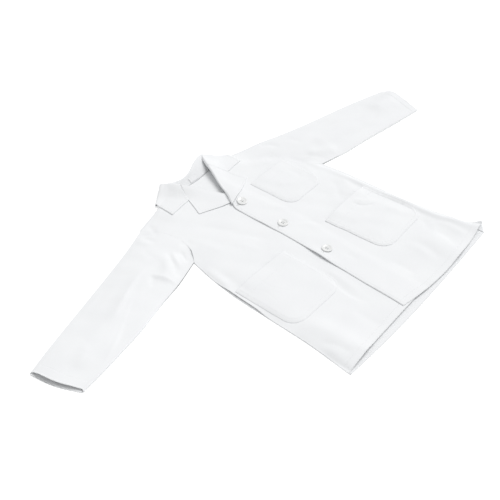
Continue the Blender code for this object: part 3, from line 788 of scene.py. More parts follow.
def make_back():
    """Back panel: hem, side seams, armholes, shoulders and the hollow of the neck."""
    body_rows, arm_rows = 10, 10
    ends = {}
    for s in (RIGHT, LEFT):
        low = even(SIDE_LINE[s], body_rows + 1)[:-1]
        ends[s] = np.vstack([low, even(ARMHOLE_LINE[s], arm_rows + 1)])
    rows = places(steps(ends[LEFT]) + 1, 3.0)
    index = np.arange(len(ends[LEFT]))
    edge = {s: between(rows, index, ends[s]) for s in ends}
    edge[LEFT][:, 0] -= 10 * bell((edge[LEFT][:, 1] + 296) / 34)
    across = np.linspace(-176, 178, 128)
    fraction = (across - across[0]) / (across[-1] - across[0])
    neck_x, neck_y = NECK_POINT[LEFT]
    tip_y = (SHOULDER_TIP[LEFT][1] + SHOULDER_TIP[RIGHT][1]) / 2
    shoulder = np.interp(np.abs(across), [neck_x, across[-1]], [neck_y, tip_y])
    top_y = np.where(np.abs(across) < neck_x, neck_edge(across), shoulder)
    plan = edge[RIGHT][:, None] + fraction[None, :, None] * (edge[LEFT] - edge[RIGHT])[:, None]
    above = np.clip(rows - body_rows + 2, 0, None) / (arm_rows + 2)
    lift = (top_y[None] - plan[..., 1]) * above[:, None] ** 2.2
    plan[:, 1:-1, 1] += lift[:, 1:-1]
    across = plan[0, :, 0] / 215
    hem = HEM_BACK[0] + HEM_BACK[1] * across ** 2 * np.where(across > 0, 0.4, 1.0)
    low = rows < 1
    plan[low, :, 1] += (hem - plan[0, :, 1])[None] * (1 - rows[low])[:, None]
    mid = with_height(plan, back_mid)
    d, along, _ = nearest(plan[..., 0], plan[..., 1], np.column_stack([plan[0, :, 0], hem]))
    above = WALL - CLOTH / 2 + turned_edge(d, along * 430, HEM_DEPTH, 0.3)
    obj = shell("back_cloth", mid, above, CLOTH / 2, white_cloth("back"), plan)[0]
    return finish_piece(obj, ["back"])


def roll_outward(side, line):
    tangent = np.gradient(line, axis=0)
    return units(np.stack([tangent[:, 1], -tangent[:, 0]], axis=1) * side)


def front_boundary(side):
    """Inner boundary of a front along the roll line."""
    radius = np.linspace(*ROLL_RADIUS, ROLL_STEPS)[:, None]
    roll = even(ROLL_LINE[side], ROLL_STEPS)
    return roll + roll_outward(side, roll) * (radius + 2 * SEAM)


def hem_y(x, side):
    if side == LEFT:
        lowest, to_centre, to_side = HEM_LEFT
        return lowest + np.where(x < 88, to_centre, to_side) * ((x - 88) / 132) ** 2
    return HEM_RIGHT - 2.6 * ease((-110 - x) / 100)


def front_thickness(x, y, side):
    """Height of a front's top face above its middle, with the bulk of its turned edges."""
    edge = EDGE_LINE[side]
    reach = edge[:, 0].min() - 5, edge[:, 0].max() + 5
    line_x = np.linspace(-225, 225, 60)
    hem = np.column_stack([line_x, hem_y(line_x, side)])
    d_hem, along_hem, _ = nearest(x, y, hem)
    top = WALL / 2 + turned_edge(d_hem, along_hem * 450, HEM_DEPTH, 0.25)
    d_edge, along_edge, _ = nearest(x, y, edge)
    near = (x > reach[0] - 30) & (x < reach[1] + 30)
    extra = turned_edge(d_edge, along_edge * 390, EDGE_INSET, 0.1)
    return top + np.where(near, extra, 0.0)


def front_top(x, y, side):
    return front_mid(x, y, side) + front_thickness(x, y, side)


def sewn_side(mid):
    """Columns added to the left front: near the hem its side turns down to the back."""
    edge = mid[:, -1]
    x, y, z = edge.T
    bend, count = 1.2, 12
    share = ease((-232 - y) / 26)
    corner_x, corner_y = BACK_CORNER
    low_x = x_at(SIDE_LINE[LEFT], y) + (corner_x - 220) * bell((y + 285) / 34)
    low_y = y + (corner_y - y[0]) * np.exp(-(y - y[0]) / 26)
    low_z = back_mid(low_x, low_y) + WALL + 0.25
    columns = []
    for a in np.radians([30, 60, 90]):
        turned = np.stack([x + bend * np.sin(a), y, z - share * bend * (1 - np.cos(a))], axis=1)
        columns.append(turned)
    top = columns[-1]
    low = np.stack([low_x, low_y, low_z], axis=1)
    for k in range(1, count + 1):
        flat = top + np.array([0.2 * k, 0, 0])
        wall = top + (low - top) * k / count
        columns.append(flat + (wall - flat) * share[:, None])
    return np.concatenate([mid, np.stack(columns, axis=1)], axis=1)


def front_rows(side):
    """Plan of a front: rows from the closing edge to the side, then from roll line to armhole."""
    edge = EDGE_LINE[side]
    neck = np.array(NECK_POINT[side], float) + np.array([1.5 * side, -0.5])
    hem_rows = np.array([-272, -258, -243, -226, -205], float)
    inner_y = np.r_[hem_rows, np.linspace(-180, 96, 9)]
    inner = np.stack([x_at(edge, inner_y), inner_y], axis=1)
    inner = np.vstack([inner, front_boundary(side)[::2], neck])
    outer_y = np.r_[hem_rows, np.linspace(-180, SIDE[side][-1][1], 6)[:-1]]
    outer = np.stack([x_at(SIDE_LINE[side], outer_y), outer_y], axis=1)
    outer = np.vstack([outer, even(ARMHOLE_LINE[side], 11)])
    rows = places(steps(np.maximum(inner, outer)), 2.6)
    index = np.arange(len(inner))
    grid_in, grid_out = between(rows, index, inner), between(rows, index, outer)
    on_edge = rows < 13
    grid_in[on_edge, 0] = x_at(edge, grid_in[on_edge, 1])
    on_side = rows < 9
    grid_out[on_side, 0] = front_side_x(grid_out[on_side, 1], side)
    width = np.linalg.norm(grid_out - grid_in, axis=1)
    spots = with_fine_bands(width.mean(), 2.6, [EDGE_INSET])
    rim_columns = width.mean() - np.array([0.25, 1.2, 2.5, 3.8, 5.2, 6.6])
    spots = np.unique(np.r_[spots[spots < width.mean() - 8], rim_columns, spots[-1]])
    # Columns near the edge keep their distance from it, where its stitching runs.
    exact = np.minimum(spots[None] / width[:, None], 1)
    mix = ease(np.clip((spots - 12) / 40, 0, 1))[None]
    u = exact * (1 - mix) + spots[None] / spots[-1] * mix
    plan = grid_in[:, None] * (1 - u[..., None]) + grid_out[:, None] * u[..., None]
    above_hem = rows >= 6
    return plan[0, :, 0], plan[above_hem]


def hem_band(side, hem_x, base_row):
    """Rows below a given one that run parallel to the hem, close together at its stitching."""
    hem = hem_y(hem_x, side)
    height = base_row[:, 1].mean() - hem.mean()
    down = with_fine_bands(height, 2.8, [HEM_DEPTH])[:-1]
    share = (down / height)[:, None]
    curve_y = hem[None] + share * (base_row[:, 1] - hem)[None]
    exact_y = hem[None] + down[:, None]
    mix = ease((down - 26) / 40)[:, None]
    y = exact_y * (1 - mix) + curve_y * mix
    start_x = x_at(EDGE_LINE[side], y[:, 0])
    end_x = front_side_x(y[:, -1], side)
    fraction = (hem_x - hem_x[0]) / (hem_x[-1] - hem_x[0])
    base_fraction = (base_row[:, 0] - base_row[0, 0]) / (base_row[-1, 0] - base_row[0, 0])
    blend = fraction[None] * (1 - share) + base_fraction[None] * share
    x = start_x[:, None] + blend * (end_x - start_x)[:, None]
    return np.dstack([x, y])


def with_sewn_side(plan, mid, above):
    """Middle, upper half wall and cloth coordinates of the left front with its turned side."""
    wide = sewn_side(mid)
    added = wide.shape[1] - mid.shape[1]
    fade = (1 - ease(np.arange(1, added + 1) / 4))[None]
    above = np.hstack([above, WALL / 2 + (above[:, -1:] - WALL / 2) * fade])
    down = np.cumsum(np.linalg.norm(np.diff(wide[:, -added - 1:], axis=1), axis=2), axis=1)
    cloth_x = plan[:, -1:, 0] + down
    cloth_y = np.repeat(plan[:, -1:, 1], added, axis=1)
    return wide, above, np.concatenate([plan, np.dstack([cloth_x, cloth_y])], axis=1)


def make_front(side, word):
    """Front panel, cut along the roll line where the lapel turns over."""
    edge = EDGE_LINE[side]
    hem_x, upper_rows = front_rows(side)
    plan = np.concatenate([hem_band(side, hem_x, upper_rows[0]), upper_rows])
    mid = with_height(plan, lambda x, y: front_mid(x, y, side))
    above = front_thickness(plan[..., 0], plan[..., 1], side)
    cloth = plan
    if side == LEFT:
        mid, above, cloth = with_sewn_side(plan, mid, above)
    obj = shell("front_%s_cloth" % word, mid, above, WALL / 2, white_cloth("front_" + word), cloth)[0]
    finish_piece(obj, ["front_" + word])

    def height(x, y):
        return front_top(x, y, side)

    xs = np.linspace(plan[0, 0, 0] + 6 * side, plan[0, -1, 0] - 3 * side, 240)
    hem_line = np.column_stack([xs, hem_y(xs, side) + HEM_DEPTH])
    ys = np.linspace(hem_y(edge[0, 0], side) + 3, 100, 240)
    edge_line = np.column_stack([x_at(edge, ys) + EDGE_INSET * side, ys])
    seams = sew("front_%s_stitches" % word,
                [surface_line(hem_line, height), surface_line(edge_line, height)])
    return obj, seams


# ---------------------------------------------------------------- sleeves

def coons(bottom, top, first, last, share=None):
    """Surface through four boundary curves: bottom and top run along u, first and last along v."""
    u = (np.linspace(0, 1, len(bottom)) if share is None else share)[:, None, None]
    v = np.linspace(0, 1, len(first))[None, :, None]
    lofted = (1 - v) * bottom[:, None] + v * top[:, None]
    across = (1 - u) * first[None] + u * last[None]
    corners = (1 - u) * (1 - v) * bottom[0] + u * (1 - v) * bottom[-1]
    corners = corners + (1 - u) * v * top[0] + u * v * top[-1]
    return lofted + across - corners


def sleeve_plan(side):
    """Rows of points from armhole to cuff, with each row's distance along the underarm."""
    armhole = even(ARMHOLE_LINE[side], 56) + np.array([0.12 * side, 0.0])
    armhole[0] = SLEEVE_UNDER[side][0]
    ends = np.array([SLEEVE_UNDER[side][-1], SLEEVE_TOP[side][-1]], float)
    cuff = spline([ends[0], ends.mean(0) + np.array([CUFF_BOW * side, -1.0]), ends[1]], 56)
    under = UNDER_LINE[side]
    length = length_of(under)
    spots = np.insert(with_fine_bands(length, 2.8, [length - CUFF_DEPTH]), 1, 0.25)
    share = spots / length
    index = np.linspace(0, 1, len(under))
    bottom, top = between(share, index, under), between(share, index, TOP_LINE[side])
    top[0] = armhole[-1]
    outwards = unit(cuff.mean(0) - armhole.mean(0))
    return coons(bottom, top, armhole, cuff, share), spots, outwards


def sleeve_plies(side, plan):
    """Heights of the middles of a sleeve's upper and lower ply."""
    x, y = plan[..., 0], plan[..., 1]
    centre, reach, height = SLEEVE_LIFT[side]
    off_floor = height * np.exp(-((np.abs(x) - centre) / reach) ** 4)
    off_floor = off_floor * bell(nearest(x, y, UNDER_LINE[side])[0] / 13)
    lower = back_mid(x, y) + 0.15 * off_floor
    # Near the right armpit the sleeve tucks in under the edge of the body.
    tucked = mound(x, y, *ARMPIT_TUCK) * bell(armhole_distance(x, y) / 10)
    return np.maximum(upper_mid(x, y) + off_floor - tucked, lower + 0.9), lower


def tube_mesh(outer, inner, outwards, flip):
    """Points and faces of a tube's two skins, with a rounded lip at each end."""
    stations, count = outer.shape[:2]
    lips = []
    for row, direction in ((0, -1), (stations - 1, 1)):
        lip = (outer[row] + inner[row]) / 2
        lip[:, :2] += direction * outwards * RIM
        lips.append(lip)
    verts = np.vstack([outer.reshape(-1, 3), inner.reshape(-1, 3), *lips])
    base = stations * count
    i, j = np.meshgrid(np.arange(stations - 1), np.arange(count), indexing="ij")
    a = (i * count + j).ravel()
    b = (i * count + (j + 1) % count).ravel()
    skin = np.stack([a, b, b + count, a + count], axis=1)
    faces = [skin if flip else skin[:, ::-1], (skin[:, ::-1] if flip else skin) + base]
    j = np.arange(count)
    k = (j + 1) % count
    last = (stations - 1) * count
    for start, lip_base, turned in ((0, 2 * base, False), (last, 2 * base + count, True)):
        one = np.stack([start + j, lip_base + j, lip_base + k, start + k], axis=1)
        two = np.stack([lip_base + j, base + start + j, base + start + k, lip_base + k], axis=1)
        for strip in (one, two):
            faces.append(strip[:, ::-1] if turned != flip else strip)
    return verts, np.vstack(faces).tolist()


def make_sleeve(side, word):
    """One-piece sleeve, pressed flat, open at the armhole and the cuff."""
    plan, spots, outwards = sleeve_plan(side)
    length = spots[-1]
    share = spots / length
    upper, lower = sleeve_plies(side, plan)
    upper_plan = plan - CUFF_STEP * ease((share - 0.86) / 0.14)[:, None, None] * outwards
    to_cuff = (length - spots)[:, None] * np.ones_like(upper)
    run = np.linspace(0, 95, plan.shape[1])[None] * np.ones_like(upper)
    hem = turned_edge(to_cuff, run, CUFF_DEPTH, 0.4)
    sideways = units(plan[:, -1] - plan[:, 0])
    turns = np.radians([70, 50, 30, 12, 0, -12, -30, -50, -70])
    # The underarm seam draws a groove along the middle of the edge.
    seam_groove = 0.8 * bell(np.degrees(turns) / 14)

    def edge_points(at, sign, radius):
        """Points round the folded edge between the two plies, in one column of the plan."""
        middle = (upper[:, at] + lower[:, at])[:, None] / 2
        half_gap = (upper[:, at] - lower[:, at])[:, None] / 2
        reach = (0.15 + half_gap + radius) * np.cos(turns[None])
        if sign < 0:
            reach = reach - seam_groove[None]
        plan_at = (upper_plan[:, at] + plan[:, at])[:, None] / 2
        flat = plan_at + sign * sideways[:, None] * reach[..., None]
        z = middle + (half_gap + radius) * np.sin(turns[None])
        return np.dstack([flat, z])

    def rings(high, low, radius):
        upper_side = np.dstack([upper_plan, upper + high])
        lower_side = np.dstack([plan, lower + low])[:, ::-1]
        far = edge_points(-1, 1, radius)
        near = edge_points(0, -1, radius)[:, ::-1]
        return np.concatenate([upper_side[:, 1:-1], far, lower_side[:, 1:-1], near], axis=1)

    outer = rings(WALL / 2 + hem, -CLOTH / 2, WALL / 2)
    inner = rings(-WALL / 2, WALL - CLOTH / 2, -WALL / 2 + 0.05)
    verts, faces = tube_mesh(outer, inner, outwards, side == RIGHT)
    stations, count = outer.shape[:2]
    girth = np.r_[0, np.cumsum(np.linalg.norm(np.diff(outer, axis=1), axis=2).mean(0))]
    uv = np.dstack([np.broadcast_to(girth, (stations, count)),
                    np.broadcast_to(spots[:, None], (stations, count))]).reshape(-1, 2)
    uv = np.vstack([uv, uv, uv[:count], uv[-count:]])
    obj = make_object("sleeve_%s_cloth" % word, verts, faces, white_cloth("sleeve_" + word), uv)
    finish_piece(obj, ["sleeve_" + word])
    band = np.argmin(np.abs(spots - (length - CUFF_DEPTH)))
    on_top = plan.shape[1] - 2
    n = normals_of(outer[band - 1: band + 2, :on_top])[1]
    seams = sew("sleeve_%s_stitches" % word, [(outer[band, :on_top], n * np.sign(n[:, 2:]))])
    return obj, seams


# ---------------------------------------------------------------- lapels and collar

def inset_line(top, n, inset, along_rows, start=0, stop=None):
    """A line on a grid at a set distance in from its last column, or from its first row."""
    grid = top if along_rows else np.swapaxes(top, 0, 1)[:, ::-1]
    normal = n if along_rows else np.swapaxes(n, 0, 1)[:, ::-1]
    points, ups = [], []
    for row, up in list(zip(grid, normal))[start:stop]:
        back = distances(row[::-1])
        points.append([np.interp(inset, back, row[::-1, k]) for k in range(3)])
        ups.append([np.interp(inset, back, up[::-1, k]) for k in range(3)])
    return np.array(points), np.array(ups)


def edge_bulk(mid, inset, sides):
    """Bulk and groove near chosen edges of a grid: 'last', 'end' or 'start'."""
    total = np.zeros(mid.shape[:2])
    across = np.linalg.norm(np.diff(mid, axis=1), axis=2)
    down = np.linalg.norm(np.diff(mid, axis=0), axis=2)
    u = np.hstack([np.zeros((len(mid), 1)), np.cumsum(across, axis=1)])
    v = np.vstack([np.zeros(mid.shape[1]), np.cumsum(down, axis=0)])
    choices = {"last": (u[:, -1:] - u, v), "start": (v, u), "end": (v[-1:] - v, u)}
    nearest_edge = np.full(mid.shape[:2], 1e9)
    run = np.zeros(mid.shape[:2])
    for s in sides:
        d, along = choices[s]
        closer = d < nearest_edge
        nearest_edge = np.where(closer, d, nearest_edge)
        run = np.where(closer, along, run)
    total += turned_edge(nearest_edge, run, inset, 0.25)
    return total


def make_lapel(side, word):
    """Facing turned over at the roll line, down to the lapel's edge."""
    along = ROLL_STEPS
    roll = even(ROLL_LINE[side], along)
    radius = np.linspace(*ROLL_RADIUS, along)[:, None]
    outward = roll_outward(side, roll)
    start = roll + outward * radius
    tip = np.array(LAPEL_TIP[side], float)
    notch = np.array(NOTCH[side], float)
    bow = np.array([0, -4.0])
    lower_edge = spline([start[0], (start[0] + tip) / 2 + bow, tip], 7)
    gorge = even([start[-1], notch], 7)
    outer_edge = even([tip, notch], along)
    plan = coons(start, outer_edge, lower_edge, gorge)
    s = np.linspace(0, 1, 7)[None, :]
    loft = np.clip((2 * radius - STACK) * (1 - ease(s)) ** 1.3, 0, None)
    under = frame_front(plan[..., 0], plan[..., 1], side)
    fold_z = under[:, 0] + STACK + loft[:, 0] - radius[:, 0]
    angles = np.radians([-90, -72, -54, -36, -18, 0, 18, 36, 54, 72])
    fold = np.zeros((along, len(angles), 3))
    for k, a in enumerate(angles):
        fold[:, k, :2] = start - outward * radius * np.cos(a)
        fold[:, k, 2] = fold_z + radius[:, 0] * np.sin(a)
    coarse = np.concatenate([fold, np.dstack([plan, under + STACK + loft])], axis=1)
    on_front = np.r_[np.zeros(len(angles)), 1, np.ones(6)][None] * np.ones((along, 1))
    base = frame_front(coarse[..., 0], coarse[..., 1], side)
    coarse = np.dstack([coarse, on_front, coarse[..., 2] - base])
    rows = with_fine_bands(float(along - 1), 0.22, [])
    columns = np.r_[np.arange(0, len(angles), 0.5), np.arange(len(angles), len(angles) + 6, 0.13)]
    columns = np.r_[columns, coarse.shape[1] - 1.0]
    fine = resample(resample(coarse, rows, 0), columns, 1)
    x, y = fine[..., 0], fine[..., 1]
    weight = np.clip(fine[..., 3], 0, 1)
    follow = front_mid(x, y, side) - frame_front(x, y, side)
    laid = front_mid(x, y, side) + np.maximum(fine[..., 4] - 0.45, LAID)
    z = (fine[..., 2] + follow) * (1 - weight) + laid * weight
    mid = np.dstack([x, y, z])
    half = FACED_WALL / 2
    bulk = edge_bulk(mid, EDGE_INSET, ["last", "start"])
    flat_part = ease((columns - len(angles) - 1) / 1.0)[None]
    obj, top, n = shell("lapel_%s_cloth" % word, mid, half + bulk * flat_part, half,
                        white_cloth("lapel_" + word))
    finish_piece(obj, ["lapel_" + word])
    first = int(np.searchsorted(rows, 2.0))
    edge_run = inset_line(top, n, EDGE_INSET, True, first, -3)
    low_from = int(np.searchsorted(columns, len(angles) + 1.2))
    flipped_top, flipped_n = top[:, ::-1], n[:, ::-1]
    low_run = inset_line(flipped_top, flipped_n, EDGE_INSET, False, 8, len(columns) - low_from)
    seams = sew("lapel_%s_stitches" % word, [edge_run, low_run])
    return obj, seams


def collar_section(seam, edge_of_fold, inward, towards_fall, radius, fall):
    """One section of the collar: stand, fold, then the points of its fall."""
    centre = edge_of_fold + inward * radius
    foot = centre - towards_fall * radius
    rise = [seam + (foot - seam) * k for k in (0.0, 0.34, 0.68)]
    turn = []
    for degrees in (0, 45, 90, 135):
        a = np.radians(degrees)
        turn.append(centre - radius * (np.cos(a) * towards_fall + np.sin(a) * inward))
    return np.vstack([rise, turn, [centre + towards_fall * radius], fall])


def collar_front_sections(side):
    """Sections from the gorge to the shoulder, where the fall lies on the front."""
    count = 6
    r = ROLL_RADIUS[1]
    roll_end = ROLL_LINE[side][-1]
    peak = np.array(COLLAR_PEAK[side])
    middle = (roll_end + peak[:2]) / 2 + np.array([-1.5 * side, 1.0])
    fold = spline([roll_end, middle, peak[:2]], count)
    fold[0] = fold[0] + unit(fold[1] - fold[0]) * 0.7
    tangent = np.gradient(fold, axis=0)
    tangent = tangent / np.linalg.norm(tangent, axis=1, keepdims=True)
    inward = np.stack([tangent[:, 1], -tangent[:, 0]], axis=1) * side
    neck = np.array(NECK_POINT[side])
    last = unit(neck - peak[:2] + (np.array(COLLAR_SHOULDER[side]) - peak[:2]) * 0.5)
    t = np.linspace(0, 1, count)[:, None]
    inward = inward * (1 - t ** 2) + last * t ** 2
    inward = inward / np.linalg.norm(inward, axis=1, keepdims=True)
    start = fold + inward * r
    tip = np.array(COLLAR_TIP[side], float)
    notch = np.array(NOTCH[side], float)
    shoulder = np.array(COLLAR_SHOULDER[side], float) + np.array([-1.5 * side, -2.5])
    end = np.vstack([even([start[0], notch], 4)[:-1], even([notch, tip], 4)])
    plan = coons(start, even([tip, shoulder], count), end, even([start[-1], shoulder], 7))
    under = frame_front(plan[..., 0], plan[..., 1], side)
    corner_z = frame_front(start[:1, 0], start[:1, 1], side)[0]
    fold_z = corner_z + r + (peak[2] - corner_z - r) * ease(t[:, 0])
    s = np.linspace(0, 1, 7)[None, :]
    loft = (fold_z + r)[:, None] - under[:, :1] - STACK
    # Along the gorge seam the fall sinks as fast as the lapel it is sewn to.
    sinking = 1 - ease(s * (2.0 - 0.8 * t))
    flat = np.dstack([plan, under + STACK + np.clip(loft * sinking ** 1.25, 0, None)])
    seam_end = neck + np.array([1.5 * side, -0.5])
    seam_line = even([front_boundary(side)[-1], seam_end], count)
    hole_side = unit([-0.35 * side, 1.0])
    up = np.array([0, 0, 1.0])
    sections = []
    for j in range(count):
        seam = seam_line[j] + hole_side * 1.4
        seam = np.array([*seam, frame_front(seam[:1], seam[1:], side)[0]])
        if j == 0:
            seam = np.array([*(start[0] + hole_side * 1.2), fold_z[0] - r - 1.6])
        edge = np.array([*fold[j], fold_z[j]])
        sections.append(collar_section(seam, edge, np.array([*inward[j], 0]), up, r, flat[j, 1:]))
    return sections


def collar_turn_sections(side):
    """Two sections along the shoulder: where the collar turns, and just below the coat."""
    peak = np.array(COLLAR_PEAK[side])
    neck = np.array(NECK_POINT[side], float)
    shoulder = np.array(COLLAR_SHOULDER[side], float)
    inward = unit(neck - peak[:2] + (shoulder - peak[:2]) * 0.5)
    sideways = np.array([-inward[1], inward[0]]) * side
    r = ROLL_RADIUS[1]
    centre = peak[:2] + inward * r + sideways * r
    k = np.linspace(0, 1, 7)[1:, None]
    plan = centre * (1 - k) + shoulder * k
    top = frame_front(shoulder[:1], shoulder[1:], side)[0] + STACK
    z = peak[2] + ((top + CLOTH / 2) / 2 - peak[2]) * ease(k * 1.3)
    seam = np.array([neck[0] - 0.4 * side, neck[1] + 2.4, back_mid(neck[0], neck[1]) + 1.2])
    fall = np.hstack([plan, z])
    turn = collar_section(seam, peak, np.array([*inward, 0]), np.array([*sideways, 0]), r, fall)
    low = turn.copy()
    low[:, :2] = turn[:, :2] - sideways * np.linspace(0.5, 1.8, len(turn))[:, None]
    flat = ease(np.linspace(-0.55, 1.1, len(turn) - 7))
    low[7:, 2] = turn[7:, 2] * (1 - flat) + CLOTH / 2 * flat
    low[3:7, 2] = turn[3:7, 2] - 1.5
    return [turn, low]


def collar_back_sections():
    """Sections across the back of the neck, where the fall lies under the back."""
    r = ROLL_RADIUS[1]
    peaks = [np.array(COLLAR_PEAK[RIGHT]), np.array(COLLAR_PEAK[LEFT])]
    fold = spline([peaks[0] + [2, -0.5, 0], *COLLAR_BACK, peaks[1] + [-2, -0.5, 0]], 11)
    neck_x = NECK_POINT[LEFT][0]
    sections = []
    for f in fold:
        share = f[0] / neck_x
        side = np.sign(share)
        seam_x = np.clip(share, -0.97, 0.97) * neck_x
        seam = np.array([seam_x, neck_edge(seam_x) + 0.8, 0])
        seam[2] = back_mid(seam[0], seam[1])
        reach = abs(share) ** 2
        shoulder = COLLAR_SHOULDER[side if side else LEFT]
        out = np.array([f[0] * 1.12 + (shoulder[0] - 1.5 * side - f[0] * 1.12) * reach ** 1.5,
                        COLLAR_UNDERLAP + (shoulder[1] - 4.0 - COLLAR_UNDERLAP) * reach ** 1.5])
        inward = unit(out - f[:2])
        start = f[:2] + inward * r
        k = np.array([0.14, 0.28, 0.44, 0.62, 0.8, 1.0])
        plan = start + (out - start) * k[:, None]
        reach_seam = np.linalg.norm(seam[:2] - start) / np.linalg.norm(out - start)
        z = CLOTH / 2 + (f[2] - r - CLOTH / 2) * (1 - ease(k / reach_seam * 1.12))
        down = np.array([0, 0, -1.0])
        sections.append(collar_section(seam, f, np.array([*inward, 0]), down, r,
                                       np.column_stack([plan, z])))
    return sections


def make_collar():
    """One-piece collar: stand and fall, over the fronts and under the back."""
    right, left = collar_front_sections(RIGHT), collar_front_sections(LEFT)
    turns = {s: collar_turn_sections(s) for s in (RIGHT, LEFT)}
    sections = right + turns[RIGHT] + collar_back_sections() + turns[LEFT][::-1] + left[::-1]
    coarse = np.array(sections)
    count = len(coarse)
    stand = 7
    weight = np.zeros(coarse.shape[:2])
    loft = np.zeros(coarse.shape[:2])
    for rows, side in ((slice(0, 6), RIGHT), (slice(count - 6, count), LEFT)):
        x, y = coarse[rows, :, 0], coarse[rows, :, 1]
        loft[rows] = coarse[rows, :, 2] - frame_front(x, y, side)
        weight[rows, stand + 1:] = 1
    coarse = np.dstack([coarse, weight, loft])
    spans = np.linalg.norm(np.diff(coarse[:, :, :3], axis=0), axis=2).max(1)
    rows = places(spans, 2.2)
    columns = np.r_[np.arange(0, stand, 0.34), np.arange(stand, 13, 0.2), 13.0]
    fine = resample(resample(coarse, rows, 0), columns, 1)
    x, y = fine[..., 0], fine[..., 1]
    w = np.clip(fine[..., 3], 0, 1)
    z = fine[..., 2].copy()
    for side, where, from_gorge in ((RIGHT, rows < 6.5, rows),
                                    (LEFT, rows > count - 7.5, count - 1 - rows)):
        fx, fy = x[where], y[where]
        follow = front_mid(fx, fy, side) - frame_front(fx, fy, side)
        z[where] += follow * (1 - ease(from_gorge[where] / 4))[:, None]
        laid = front_mid(fx, fy, side) + np.maximum(fine[where][..., 4] - 0.45, LAID)
        z[where] = z[where] * (1 - w[where]) + laid * w[where]
    half = FACED_WALL / 2
    mid = np.dstack([x, y, np.maximum(z, half + 0.12)])
    bulk = edge_bulk(mid, EDGE_INSET, ["last", "start", "end"])
    flat_part = ease((columns - stand - 1) / 1.0)[None]
    on_fronts = 1 - ease(rows - 5.5) * ease(count - 6.5 - rows)
    flat_part = flat_part * on_fronts[:, None]
    n = normals_of(mid)
    # The collar turns over, so its outer face is the one that looks up at the front.
    sign = 1 if n[10, -10, 2] > 0 else -1
    obj, top, n = collar_shell(mid, n * sign, half + bulk * flat_part, half)
    finish_piece(obj, ["collar"])
    first, last = int(np.searchsorted(rows, 0.4)), int(np.searchsorted(rows, 6))
    lines = [inset_line(top, n, EDGE_INSET, True, first, last)]
    low_from = int(np.searchsorted(columns, stand + 3.2))
    for flip in (False, True):
        t, m = (top[::-1], n[::-1]) if flip else (top, n)
        lines.append(inset_line(t[:, ::-1], m[:, ::-1], EDGE_INSET, False, 8,
                                len(columns) - low_from))
    lines.append(inset_line(top, n, EDGE_INSET, True, len(rows) - last, len(rows) - first))
    seams = sew("collar_stitches", lines)
    return obj, seams


def collar_shell(mid, n, above, below):
    """Like shell, for a strip that turns right over."""
    top = mid + n * above[..., None]
    bottom = mid - n * below
    rim = rim_of(*mid.shape[:2])
    edge = ((top + bottom) / 2).reshape(-1, 3)[rim]
    inner = np.vstack([mid[:, 1], mid[-2, 1:], mid[-2::-1, -2], mid[1, -2:0:-1]])
    edge = edge + units(edge - inner) * RIM
    up = (normals_of(mid) * n).sum() > 0
    obj = closed_wall("collar_cloth", top, bottom, edge, up, white_cloth("collar"), cloth_uv(mid))
    return obj, top, n


def make_label():
    """Small blank woven tape on the inside of the stand, sewn on at the neck seam."""
    middle = collar_back_sections()[5]
    seam, foot = middle[0], middle[3]
    up = (foot - seam) / np.linalg.norm(foot - seam)
    off = np.array([0, -up[2], up[1]])
    across = np.linspace(-LABEL[0] / 2, LABEL[0] / 2, 34)
    climb = np.linspace(0.2, 1.0, 20)
    grid = np.zeros((len(climb), len(across), 3))
    for i, k in enumerate(climb):
        stand_off = (FACED_WALL + TAPE_WALL) / 2 + 0.12
        grid[i] = seam + up * k * LABEL[1] + off * stand_off
        grid[i, :, 0] += across
    tape = cloth_material("label_tape_weave", (0.86, 0.865, 0.87), (0.79, 0.80, 0.82), 0.32,
                          0.00005, 0.5, 0.2)
    obj = shell("label_cloth", grid, TAPE_WALL / 2, TAPE_WALL / 2, tape)[0]
    return finish_piece(obj, ["neck_label"])


# ---------------------------------------------------------------- pockets and buttons

def pocket_outline(width, depth, radius, inset):
    """The U of a pocket's sewn edge, moved in by an inset, in the pocket's own plane."""
    corner = np.radians(np.linspace(0, 90, 14))
    r = radius - inset
    left = [(inset, y) for y in np.linspace(0, -(depth - radius), 20)]
    turn_in = [(radius - r * np.cos(a), -(depth - radius) - r * np.sin(a)) for a in corner]
    turn_out = [(width - x, y) for x, y in reversed(turn_in)]
    right = [(width - x, y) for x, y in reversed(left)]
    return np.array(left + turn_in[1:] + turn_out + right[1:])


def pocket_to_plan(points, side, corner, turn):
    c, s = np.cos(np.radians(turn)), np.sin(np.radians(turn))
    x, y = points[..., 0] * side, points[..., 1]
    flat = np.stack([x * c - y * s, x * s + y * c], axis=-1)
    return flat + np.array(corner, float)


